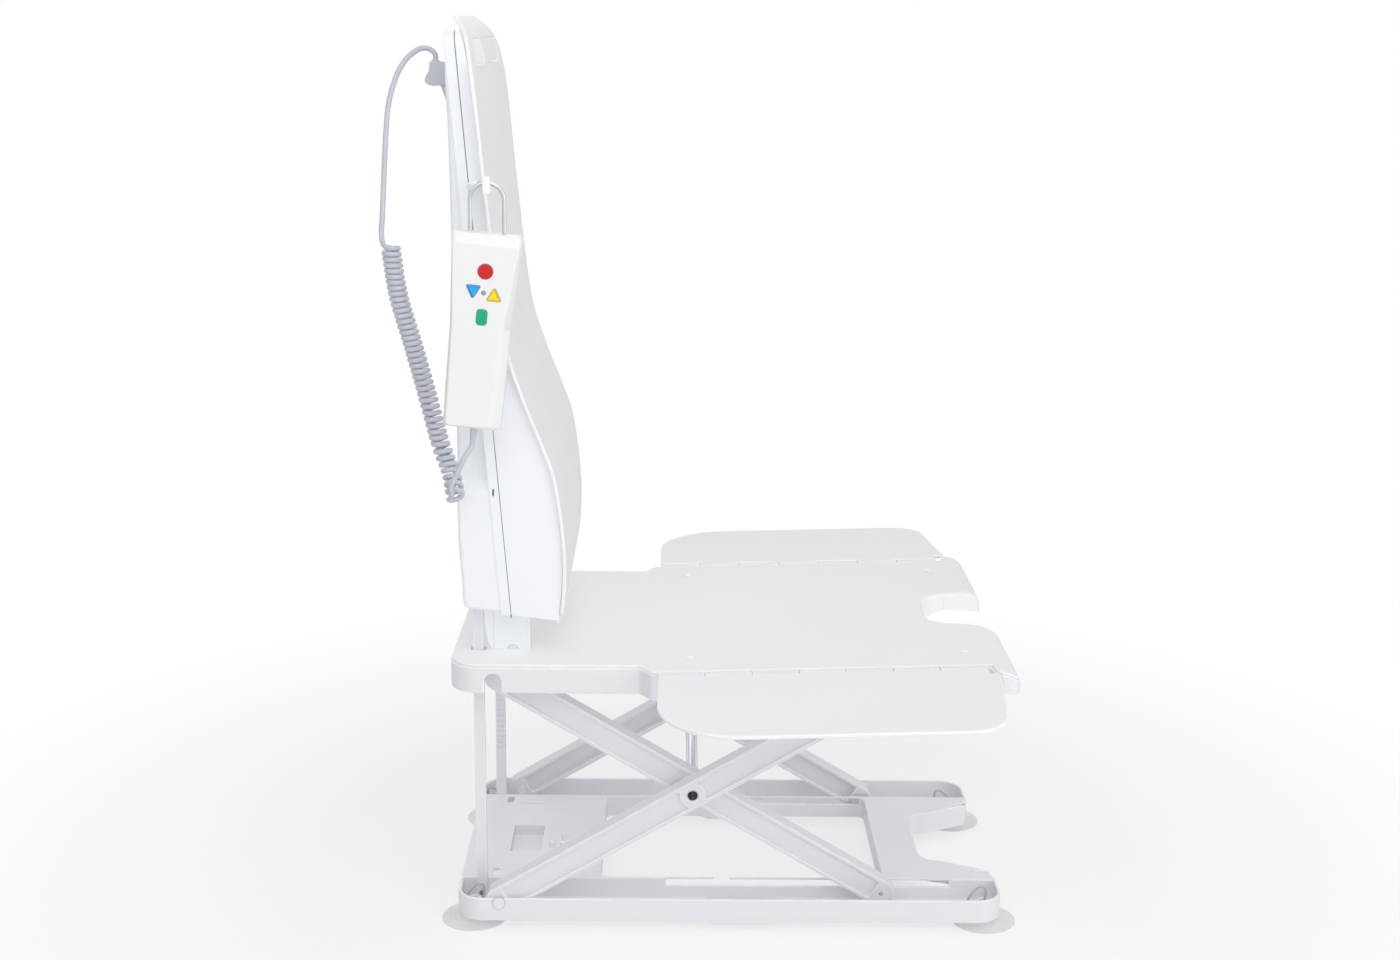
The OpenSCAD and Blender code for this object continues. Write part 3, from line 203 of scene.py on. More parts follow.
def _wire_mould_grain(tree: NodeTree) -> None:
    """Fine eroded grain of a moulding tool, with slow changes of shade and gloss."""
    w = Wiring(tree)
    numbers = dict.fromkeys(("Shade", "Grain Scale", "Cloud Scale", "Roughness", "Spread"), FLOAT)
    gin, gout = _sockets(
        tree, {"Colour": COLOUR, **numbers}, {"Colour": COLOUR, "Roughness": FLOAT, "Height": FLOAT}
    )
    at = {"Vector": (w.add("ShaderNodeTexCoord"), "Object")}
    fine, slow = ({**at, "Scale": (gin, name)} for name in ("Grain Scale", "Cloud Scale"))
    grain = w.add("ShaderNodeTexNoise", {**fine, "Detail": 3.0, "Roughness": 0.62})
    pits = w.add("ShaderNodeTexVoronoi", {**fine, "Randomness": 1.0}, feature="SMOOTH_F1")
    cloud = w.add("ShaderNodeTexNoise", {**slow, "Detail": 4.0, "Roughness": 0.55})
    tone = w.add(
        "ShaderNodeMapRange",
        {"Value": (cloud, "Fac"), "From Min": 0.3, "From Max": 0.7, "To Min": 0.0, "To Max": 1.0},
    )
    part = w.maths("MULTIPLY", (tone, "Result"), (gin, "Shade"))
    darker = (0.86, 0.86, 0.88, 1.0)
    shade = w.add(
        "ShaderNodeMix", {0: part, 6: (gin, "Colour"), 7: darker}, data_type="RGBA", blend_type="MULTIPLY"
    )
    w.feed(
        gout,
        {
            "Colour": (shade, 2),
            "Roughness": _uneven(w, (cloud, "Fac"), gin),
            "Height": w.maths("MULTIPLY_ADD", (pits, "Distance"), 0.6, (grain, "Fac")),
        },
    )


def _wire_edge_wear_and_highlight(tree: NodeTree) -> None:
    """Rounded edges with wear that smooths them, painted lighter as a highlight, from the mesh's own
    attribute that marks them.
    """
    w = Wiring(tree)
    gin, gout = _sockets(
        tree,
        {"Colour": COLOUR, "Wear And Highlight Colour": COLOUR, "Roughness": FLOAT, "Amount": FLOAT},
        {"Colour": COLOUR, "Roughness": FLOAT},
    )
    where = w.add("ShaderNodeTexCoord")
    edge = w.add("ShaderNodeAttribute", attribute_name="wear_and_highlight")
    patch = w.add("ShaderNodeTexNoise", {"Vector": (where, "Object"), "Scale": 70.0, "Detail": 3.0})
    level = w.add(
        "ShaderNodeMapRange",
        {"Value": (patch, "Fac"), "From Min": 0.3, "From Max": 0.62, "To Min": 0.35, "To Max": 1.0},
    )
    mask = w.maths("MULTIPLY", (edge, "Fac"), (level, "Result"))
    amount = w.maths("MULTIPLY", mask, (gin, "Amount"), clamp=True)
    # Edge wear and painted highlight: marked edges are mixed towards a lighter colour
    colours = {6: (gin, "Colour"), 7: (gin, "Wear And Highlight Colour")}
    mixed = w.add("ShaderNodeMix", {0: amount, **colours}, data_type="RGBA")
    polish = -0.12
    smoother = w.maths("MULTIPLY_ADD", amount, polish, (gin, "Roughness"))
    w.feed(gout, {"Colour": (mixed, 2), "Roughness": smoother})


def _wire_drawn_lines(tree: NodeTree) -> None:
    """Fine lines that a die leaves along a drawn metal bar."""
    w = Wiring(tree)
    gin, gout = _sockets(
        tree, {"Stretch": VECTOR, "Roughness": FLOAT, "Spread": FLOAT}, {"Roughness": FLOAT, "Height": FLOAT}
    )
    where = w.add("ShaderNodeTexCoord")
    along = w.add("ShaderNodeVectorMath", {0: (where, "Object"), 1: (gin, "Stretch")}, operation="MULTIPLY")
    texture = {"Vector": (along, "Vector"), "Scale": 1.0, "Detail": 4.0, "Roughness": 0.7}
    lines = (w.add("ShaderNodeTexNoise", texture), "Fac")
    w.feed(gout, {"Roughness": _uneven(w, lines, gin), "Height": lines})


@dataclass(frozen=True)
class Finish:
    """A surface finish: its name, the record's slot, its colour and how rough it is."""

    name: str
    slot: str
    colour: Colour
    roughness: float

    def material(self) -> Material:
        """Gives the finish's material, and builds it the first time."""
        found = bpy.data.materials.get(self.name)
        if found:
            return found
        made = bpy.data.materials.new(self.name)
        made.use_nodes = True
        self.wire(Wiring(made.node_tree), made.node_tree.nodes["Principled BSDF"])
        return made

    def wire(self, w: Wiring, shader: Node) -> None:
        """Joins the finish's effects to its shader; each finish has its own.

        Args:
            w: The material's wiring.
            shader: Its Principled shader.
        """
        raise NotImplementedError

    def grained(self, w: Wiring, shade: float, grain: float, cloud: float, spread: float) -> Node:
        """Puts in the mould grain with the finish's own colour and roughness.

        Args:
            w: The material's wiring.
            shade: How far the slow clouds darken it.
            grain: Grains in a metre.
            cloud: Clouds in a metre.
            spread: How far the roughness swings.

        Returns:
            The grain's node.
        """
        own = {"Colour": (*self.colour, 1.0), "Roughness": self.roughness}
        rest = {"Shade": shade, "Grain Scale": grain, "Cloud Scale": cloud, "Spread": spread}
        return SharedEffect.MOULD_GRAIN.place(w, {**own, **rest})

    @staticmethod
    def skin(w: Wiring, shader: Node, source: Node, more: Inputs) -> None:
        """Gives the shader its colour and roughness.

        Args:
            w: The material's wiring.
            shader: Its Principled shader.
            source: Node with Colour and Roughness outputs.
            more: What else goes into the shader.
        """
        w.feed(shader, {"Base Color": (source, "Colour"), "Roughness": (source, "Roughness"), **more})

    @staticmethod
    def bump(w: Wiring, shader: Node, source: Node, strength: float, depth: float) -> None:
        """Turns a height into the shader's normal.

        Args:
            w: The material's wiring.
            shader: Its Principled shader.
            source: Node with a Height output.
            strength: Share of the bump that shows.
            depth: Depth of the relief in metres.
        """
        relief = {"Strength": strength, "Distance": depth, "Height": (source, "Height")}
        w.feed(shader, {"Normal": (w.add("ShaderNodeBump", relief), "Normal")})


@dataclass(frozen=True)
class MouldedPlastic(Finish):
    """Injection-moulded plastic with an eroded grain, and rounded edges that show wear and are painted
    lighter as a highlight.
    """

    grain: float = 0.0005
    grain_depth: float = 0.00002
    grain_strength: float = 0.25
    shade: float = 0.12
    spread: float = 0.12
    # Share of rounded edges mixed towards a lighter colour, for wear and a painted highlight
    wear_and_highlight: float = 0.5
    wear_and_highlight_colour: Colour = (0.97, 0.97, 0.98)
    coat: float = 0.0

    def wire(self, w: Wiring, shader: Node) -> None:
        """Joins grain, cloudy shade, and edge wear with a painted highlight, to the shader."""
        grain = self.grained(w, self.shade, 1.0 / self.grain, 7.0, self.spread)
        own = {"Colour": (grain, "Colour"), "Roughness": (grain, "Roughness")}
        edge_wear_and_highlight = {"Wear And Highlight Colour": (*self.wear_and_highlight_colour, 1.0), "Amount": self.wear_and_highlight}
        edge = SharedEffect.EDGE_WEAR_AND_HIGHLIGHT.place(w, {**own, **edge_wear_and_highlight})
        gloss = {"Specular IOR Level": 0.4, "Coat Weight": self.coat, "Coat Roughness": 0.12}
        self.skin(w, shader, edge, gloss)
        self.bump(w, shader, grain, self.grain_strength, self.grain_depth)


@dataclass(frozen=True)
class ButtonPlastic(MouldedPlastic):
    """Glossier plastic of the buttons, with a finer grain."""

    grain: float = 0.0003
    wear_and_highlight: float = 0.12
    coat: float = 0.1


@dataclass(frozen=True)
class CupVinyl(Finish):
    """Soft, slightly clear vinyl of the suction cups and their pull loops."""

    def wire(self, w: Wiring, shader: Node) -> None:
        """Joins a milky shade and a smooth skin to the shader."""
        grain = self.grained(w, 0.35, 900.0, 40.0, 0.2)
        self.skin(w, shader, grain, {"Transmission Weight": 0.12, "IOR": 1.45})
        self.bump(w, shader, grain, 0.1, 0.00003)


@dataclass(frozen=True)
class BrightSteel(Finish):
    """Bright drawn steel with die lines along its length."""

    stretch: Point = (900.0, 12.0, 900.0)

    def wire(self, w: Wiring, shader: Node) -> None:
        """Joins the die lines to a metallic shader."""
        drawn = {"Stretch": self.stretch, "Roughness": self.roughness, "Spread": 0.3}
        lines = SharedEffect.DRAWN_LINES.place(w, drawn)
        tint = self.grained(w, 0.5, 1500.0, 60.0, 0.1)
        self.skin(w, shader, tint, {"Roughness": (lines, "Roughness"), "Metallic": 1.0})
        self.bump(w, shader, lines, 0.15, 0.00002)


@dataclass(frozen=True)
class CordJacket(Finish):
    """Satin jacket of the cord, its plug and its bend relief."""

    def wire(self, w: Wiring, shader: Node) -> None:
        """Joins a fine matt skin to the shader."""
        grain = self.grained(w, 0.45, 2600.0, 55.0, 0.2)
        self.skin(w, shader, grain, {"Sheen Weight": 0.15, "Sheen Roughness": 0.4})
        self.bump(w, shader, grain, 0.2, 0.00003)


class Palette(Enum):
    """The finishes of this bath lift."""

    # Moulded finishes paint their rounded edges towards a lighter colour, for wear and a painted highlight
    FRAME_WHITE = MouldedPlastic("frame_white", "white_plastic", (0.80, 0.797, 0.825), 0.42)
    # Painted shade: the frame's white made darker for the arms, whose panels face the lamps
    ARM_WHITE_SHADED = MouldedPlastic("arm_white_shaded", "white_plastic", (0.755, 0.752, 0.78), 0.42)
    HOUSING_WHITE = MouldedPlastic(
        "housing_white", "white_plastic", (0.88, 0.905, 0.928), 0.34,
        grain=0.0004, grain_strength=0.15, shade=0.06,
    )  # fmt: skip
    HANDSET_WHITE = MouldedPlastic(
        "handset_white", "white_plastic", (0.855, 0.855, 0.85), 0.4,
        grain=0.0003, grain_strength=0.2, shade=0.06,
    )  # fmt: skip
    COVER_GREY = MouldedPlastic(
        "cover_grained", "cover_grey", (0.86, 0.86, 0.86), 0.55,
        grain=0.0009, grain_strength=0.35, shade=0.08, wear_and_highlight=0.6,
    )  # fmt: skip
    CUP_VINYL = CupVinyl("milky_vinyl", "cup_vinyl", (0.78, 0.79, 0.79), 0.3)
    LOOP_VINYL = CupVinyl("loop_vinyl", "cup_vinyl", (0.56, 0.565, 0.59), 0.25)
    LAMP_CLEAR = CupVinyl("lamp_lens", "lamp_clear", (0.36, 0.36, 0.38), 0.15)
    CORD_GREY = CordJacket("cord_jacket", "cord_grey", (0.55, 0.565, 0.62), 0.45)
    STEEL = BrightSteel("bright_steel", "steel", (0.72, 0.73, 0.75), 0.24)
    WIRE_STEEL = BrightSteel("bail_wire", "steel", (0.6, 0.6, 0.61), 0.3, stretch=(600.0, 600.0, 20.0))
    DARK = MouldedPlastic(
        "shoe_black", "dark_plastic", (0.02, 0.02, 0.023), 0.5, wear_and_highlight=0.1, wear_and_highlight_colour=(0.06, 0.06, 0.06)
    )
    # Grey nylon of the shoes, also used as the painted shade round the pivot heads
    SHOE_NYLON_AND_RING_SHADE = MouldedPlastic(
        "shoe_nylon_and_ring_shade", "dark_plastic", (0.56, 0.56, 0.57), 0.5, wear_and_highlight=0.3, wear_and_highlight_colour=(0.7, 0.7, 0.7)
    )
    # Painted shade: dark colour put in the seam groove, the latch recesses and the gaps round the buttons
    GAP_SHADE = MouldedPlastic(
        "painted_gap_shade", "dark_plastic", (0.2, 0.205, 0.22), 0.6, wear_and_highlight=0.1, wear_and_highlight_colour=(0.3, 0.3, 0.3)
    )
    BOARD = MouldedPlastic(
        "board_lacquer", "board_green", (0.02, 0.12, 0.04), 0.35, wear_and_highlight=0.2, wear_and_highlight_colour=(0.2, 0.25, 0.15)
    )
    RED = ButtonPlastic("stop_red", "button_red", (0.60, 0.010, 0.009), 0.3, wear_and_highlight_colour=(0.8, 0.2, 0.18))
    BLUE = ButtonPlastic("lower_blue", "button_blue", (0.018, 0.385, 0.86), 0.3, wear_and_highlight_colour=(0.3, 0.6, 0.95))
    YELLOW = ButtonPlastic("raise_yellow", "button_yellow", (0.98, 0.74, 0.02), 0.3, wear_and_highlight_colour=(1.0, 0.86, 0.4))
    GREEN = ButtonPlastic("power_green", "button_green", (0.002, 0.40, 0.22), 0.3, wear_and_highlight_colour=(0.25, 0.6, 0.45))

    @classmethod
    def of_slot(cls, slot: str) -> "Palette":
        """The first finish that stands for a slot of the record."""
        return next(p for p in cls if p.value.slot == slot)


def placed(name: str, data: ID) -> Object:
    """Makes an object and puts it into the scene.

    Args:
        name: The object's name.
        data: Its mesh, curve, camera or light.

    Returns:
        The object.
    """
    obj = bpy.data.objects.new(name, data)
    bpy.context.scene.collection.objects.link(obj)
    return obj


def lying(at: Point) -> Matrix:
    """Puts a lathed piece at a place, with its axis turned from Z to -Y."""
    return Matrix.Translation(at) @ Matrix.Rotation(math.radians(90), 4, "X")


def circle(radius: float, sides: int) -> Outline:
    """The points of a circle about the origin, anticlockwise."""
    angles = (2 * math.pi * k / sides for k in range(sides))
    return [(radius * math.cos(a), radius * math.sin(a)) for a in angles]


def settle(obj: Object) -> Object:
    """Turns an object's modifiers into its plain mesh.

    Args:
        obj: The object, which keeps its name.

    Returns:
        The same object, without modifiers.
    """
    graph = bpy.context.evaluated_depsgraph_get()
    made = bpy.data.meshes.new_from_object(
        obj.evaluated_get(graph), preserve_all_data_layers=True, depsgraph=graph
    )
    old = obj.data
    obj.modifiers.clear()
    obj.data = made
    made.name = obj.name
    if old.users == 0:
        bpy.data.meshes.remove(old)
    return obj


def smooth_line(points: Sequence[Vector], steps: int) -> list[Vector]:
    """Draws a smooth line through points.

    Args:
        points: Points that the line goes through.
        steps: Steps between each two of them.

    Returns:
        The points of the line.
    """
    ends = [2 * points[0] - points[1], *points, 2 * points[-1] - points[-2]]
    line: list[Vector] = []
    for i in range(len(points) - 1):
        a, b, c, d = ends[i : i + 4]
        line += [catmull(a, b, c, d, k / steps) for k in range(steps)]
    return [*line, points[-1].copy()]


def catmull(a: Vector, b: Vector, c: Vector, d: Vector, t: float) -> Vector:
    """The point at share t between b and c on a smooth line through four points."""
    square, cube = 2 * a - 5 * b + 4 * c - d, 3 * b - a - 3 * c + d
    return 0.5 * (2 * b + (c - a) * t + square * t * t + cube * t**3)


def rounded_outline(corners: Sequence[tuple[float, float]], radius: float, steps: int = 6) -> Outline:
    """Rounds the corners of a closed outline.

    Args:
        corners: Its corners, anticlockwise.
        radius: Radius of each corner.
        steps: Steps along each corner.

    Returns:
        The rounded outline.
    """
    made: Outline = []
    n = len(corners)
    for i in range(n):
        before, here, after = (Vector(corners[j % n]) for j in (i - 1, i, i + 1))
        u, v = (before - here).normalized(), (after - here).normalized()
        half = u.angle(v) / 2
        reach = radius / math.tan(half)
        middle = here + (u + v).normalized() * radius / math.sin(half)
        start, end = here + u * reach - middle, here + v * reach - middle
        turn = start.angle_signed(end)
        for k in range(steps + 1):
            made.append(tuple(middle + Matrix.Rotation(-turn * k / steps, 2) @ start))
    return made


class EdgeRounder:
    """Rounds the outer edges of a closed mesh, flat region by flat region.

    Each flat region is drawn again with its rounded sides moved in, a strip of facets follows each
    rounded edge, and a small patch closes each corner. The new facets carry an attribute that marks
    them for edge wear and a painted highlight.
    """

    # How little the faces of one region turn, as an angle and as a cosine
    FLAT = math.radians(0.1)
    SAME_WAY = 0.99995
    # A corner keeps to its planes more than to its widths, and moves by no more than these widths
    PLANE_WEIGHT = 30.0
    MOST_WIDTHS = 3.0
    # How far a corner patch's middle goes from the old corner towards its edges
    PATCH_IN = 0.85
    MERGE = 1e-7
    TINY = 1e-8

    def __init__(self, bm: BMesh, width: Callable[[Vector], float], segments: int, least: float) -> None:
        """Reads the mesh.

        Args:
            bm: The closed mesh.
            width: Gives the width of the rounding at an edge's middle; 0 leaves the edge.
            segments: Facets across a rounding.
            least: Edges that turn by fewer degrees stay.
        """
        self.bm = bm
        self.segments = segments
        self.made = bmesh.new()
        # Marks rounded edges, which materials paint lighter for wear and a painted highlight
        self.wear_and_highlight = self.made.faces.layers.float.new("wear_and_highlight")
        self.wide: dict[BMEdge, float] = {}
        for edge in bm.edges:
            if len(edge.link_faces) == 2 and edge.calc_face_angle_signed(0.0) > math.radians(least):
                reach = width((edge.verts[0].co + edge.verts[1].co) / 2)
                if reach > 0.0:
                    self.wide[edge] = reach
        self.region: dict[BMFace, int] = {}
        self.normals: list[Vector] = []
        self.corner: dict[tuple[BMFace, BMVert], BMVert] = {}
        self.arcs: dict[tuple[BMVert, BMVert], list[BMVert]] = {}

    def run(self) -> BMesh:
        """Does the work.

        Returns:
            The rounded mesh; the mesh that was read is freed.
        """
        self.find_regions()
        patches = [patch for vert in self.bm.verts for patch in self.place_corners(vert)]
        self.fill_regions()
        for edge in self.wide:
            self.strip(edge)
        for vert, edges, outward in patches:
            self.patch(vert, edges, outward)
        self.bm.free()
        bmesh.ops.remove_doubles(self.made, verts=self.made.verts, dist=self.MERGE)
        bmesh.ops.dissolve_degenerate(self.made, edges=self.made.edges, dist=self.TINY)
        return self.made

    def find_regions(self) -> None:
        """Joins neighbouring faces that lie in one plane."""
        for first in self.bm.faces:
            if first in self.region:
                continue
            mark = len(self.normals)
            total = Vector()
            stack = [first]
            self.region[first] = mark
            while stack:
                face = stack.pop()
                total += face.normal * face.calc_area()
                for edge in face.edges:
                    if len(edge.link_faces) != 2 or edge.calc_face_angle(math.pi) > self.FLAT:
                        continue
                    for other in edge.link_faces:
                        if other not in self.region and other.normal.dot(first.normal) > self.SAME_WAY:
                            self.region[other] = mark
                            stack.append(other)
            self.normals.append(total.normalized())

    def place_corners(self, vert: BMVert) -> list[tuple[BMVert, list[BMEdge], Vector]]:
        """Makes a vertex's new corner points, one for each sector between its rounded edges.

        Args:
            vert: The old vertex.

        Returns:
            The corner patches that it needs: vertex, rounded edges in turn, and the way out.
        """
        patches = []
        left = set(vert.link_loops)
        while left:
            fan = self.fan(next(iter(left)))
            left.difference_update(fan)
            cuts = [i for i, loop in enumerate(fan) if loop.link_loop_prev.edge in self.wide]
            if len(cuts) < 2:
                point = self.made.verts.new(vert.co)
                for loop in fan:
                    self.corner[(loop.face, vert)] = point
                continue
            for a, b in zip(cuts, [*cuts[1:], cuts[0] + len(fan)]):
                sector = [fan[i % len(fan)] for i in range(a + 1, b + 1)]
                point = self.made.verts.new(vert.co + self.shift(vert, sector))
                for loop in sector:
                    self.corner[(loop.face, vert)] = point
            for i in cuts:
                here, there = fan[i], fan[(i + 1) % len(fan)]
                ends = self.corner[(here.face, vert)], self.corner[(there.face, vert)]
                self.arc(vert, here.link_loop_prev.edge, ends, len(cuts) == 2)
            if len(cuts) > 2:
                outward = Vector()
                for loop in fan:
                    outward += loop.face.normal * loop.calc_angle()
                patches.append((vert, [fan[i].link_loop_prev.edge for i in cuts], outward))
        return patches

    @staticmethod
    def fan(start: BMLoop) -> list[BMLoop]:
        """The loops round a vertex, in turn, from one of them."""
        loops = [start]
        while (after := loops[-1].link_loop_prev.link_loop_radial_next) is not start:
            loops.append(after)
        return loops

    def shift(self, vert: BMVert, sector: list[BMLoop]) -> Vector:
        """How far a sector's corner moves, by least squares.

        Args:
            vert: The old vertex.
            sector: The loops at the vertex between two rounded edges, in turn.

        Returns:
            The move, in the planes of the sector's regions and off both rounded edges.
        """
        marks = {self.region[loop.face] for loop in sector}
        rows = [(self.normals[mark], 0.0, self.PLANE_WEIGHT) for mark in marks]
        first, last = sector[0], sector[-1]
        most = 0.0
        for loop, edge, side in ((first, first.edge, 1.0), (last, last.link_loop_prev.edge, -1.0)):
            along = (edge.other_vert(vert).co - vert.co).normalized()
            inward = side * self.normals[self.region[loop.face]].cross(along)
            rows.append((inward.normalized(), self.wide[edge], 1.0))
            most = max(most, self.MOST_WIDTHS * self.wide[edge])
        square = Matrix.Diagonal((1e-6, 1e-6, 1e-6))
        right = Vector()
        for way, amount, weight in rows:
            for i in range(3):
                right[i] += weight * way[i] * amount
                for j in range(3):
                    square[i][j] += weight * way[i] * way[j]
        move = square.inverted() @ right
        return move if move.length <= most else move * (most / move.length)

    def arc(self, vert: BMVert, edge: BMEdge, ends: tuple[BMVert, BMVert], goes_on: bool) -> None:
        """Makes the points of the rounding across an edge's end.

        Args:
            vert: The old vertex at that end.
            edge: The rounded edge.
            ends: The new corners on its two sides.
            goes_on: True where the rounding just goes on into one more edge.
        """
        a, b = ends
        if (a, b) in self.arcs or (b, a) in self.arcs:
            return
        peak = vert.co
        if not goes_on:
            along = (edge.other_vert(vert).co - vert.co).normalized()
            peak = vert.co + along * along.dot((a.co + b.co) / 2 - vert.co)
        inner = []
        for k in range(1, self.segments):
            t = k / self.segments
            point = a.co * (1 - t) ** 2 + peak * 2 * t * (1 - t) + b.co * t * t
            inner.append(self.made.verts.new(point))
        self.arcs[(a, b)] = [a, *inner, b]

    def across(self, a: BMVert, b: BMVert) -> list[BMVert]:
        """The points from one corner to another across a rounding."""
        if a is b:
            return [a] * (self.segments + 1)
        if (a, b) in self.arcs:
            return self.arcs[(a, b)]
        return list(reversed(self.arcs[(b, a)]))

    def face(self, points: Sequence[BMVert], outward: Vector, wear_and_highlight: float) -> None:
        """Adds a face, turned outwards.

        Args:
            points: Its points; repeats in a row are left out.
            outward: The way out.
            wear_and_highlight: Value of its attribute that marks rounded edges for wear and a painted
                highlight.
        """
        unique = [p for i, p in enumerate(points) if p is not points[i - 1]]
        if len(unique) < 3 or len(set(unique)) != len(unique):
            return
        area = Vector()
        for p, q in zip(unique[1:], unique[2:]):
            area += (p.co - unique[0].co).cross(q.co - unique[0].co)
        if area.dot(outward) < 0:
            unique.reverse()
        if self.made.faces.get(unique) is None:
            self.made.faces.new(unique)[self.wear_and_highlight] = wear_and_highlight

    def strip(self, edge: BMEdge) -> None:
        """Adds the facets along one rounded edge."""
        one, two = edge.link_faces
        left, right = (self.across(self.corner[(one, v)], self.corner[(two, v)]) for v in edge.verts)
        for k in range(self.segments):
            self.face([left[k], right[k], right[k + 1], left[k + 1]], one.normal + two.normal, 1.0)

    def patch(self, vert: BMVert, edges: list[BMEdge], outward: Vector) -> None:
        """Closes a corner where three or more rounded edges meet.

        Args:
            vert: The old vertex.
            edges: The rounded edges, in turn.
            outward: The way out.
        """
        ring: list[BMVert] = []
        middles = Vector()
        for edge in edges:
            one, two = edge.link_faces
            line = self.across(self.corner[(one, vert)], self.corner[(two, vert)])
            if ring and ring[-1] not in (line[0], line[-1]):
                ring.reverse()
            if ring and line[0] is not ring[-1]:
                line = list(reversed(line))
            ring += line[1:] if ring else line
            middles += line[len(line) // 2].co
        if ring[0] is ring[-1]:
            ring.pop()
        centre = self.made.verts.new(vert.co + self.PATCH_IN * (middles / len(edges) - vert.co))
        for i, point in enumerate(ring):
            self.face([ring[i - 1], point, centre], outward, 1.0)

    def fill_regions(self) -> None:
        """Draws every flat region again inside its new outline."""
        lines: dict[int, list[list[BMVert]]] = {}
        seen: set[BMLoop] = set()
        for face in self.bm.faces:
            for loop in face.loops:
                if loop in seen or not self.on_border(loop):
                    continue
                line = []
                while loop not in seen:
                    seen.add(loop)
                    line.append(self.corner[(loop.face, loop.vert)])
                    loop = loop.link_loop_next
                    while not self.on_border(loop):
                        loop = loop.link_loop_radial_next.link_loop_next
                lines.setdefault(self.region[face], []).append(line)
        for mark, outline in lines.items():
            if len(outline) == 1 and len(outline[0]) <= 4:
                self.face(outline[0], self.normals[mark], 0.0)
            else:
                self.fill(outline, self.normals[mark])

    def on_border(self, loop: BMLoop) -> bool:
        """True where a loop's edge ends its region."""
        return self.region[loop.link_loop_radial_next.face] != self.region[loop.face]

    def fill(self, lines: list[list[BMVert]], normal: Vector) -> None:
        """Fills one region with triangles.

        Args:
            lines: Its outer line and the lines of its holes.
            normal: The way out.
        """
        side = normal.orthogonal().normalized()
        other = normal.cross(side)
        points = list(dict.fromkeys(p for line in lines for p in line))
        place = {p: i for i, p in enumerate(points)}
        flat = [Vector((p.co.dot(side), p.co.dot(other))) for p in points]
        height = sum(p.co.dot(normal) for p in points) / len(points)
        sides = [pair for line in lines for pair in zip(line, [*line[1:], line[0]])]
        rims = [(place[a], place[b]) for a, b in sides if a is not b]
        spots, _, faces, origins, _, _ = delaunay_2d_cdt(flat, rims, [], 1, self.TINY)
        verts = [
            points[o[0]] if o else self.made.verts.new(side * s.x + other * s.y + normal * height)
            for s, o in zip(spots, origins)
        ]
        walls = [(flat[a], flat[b]) for a, b in rims]
        for tri in faces:
            x, y = (sum(spots[i][k] for i in tri) / 3 for k in (0, 1))
            across = [(p, q) for p, q in walls if (p.y > y) != (q.y > y)]
            hits = sum(x < p.x + (y - p.y) * (q.x - p.x) / (q.y - p.y) for p, q in across)
            if hits % 2:
                self.face([verts[i] for i in tri], normal, 0.0)


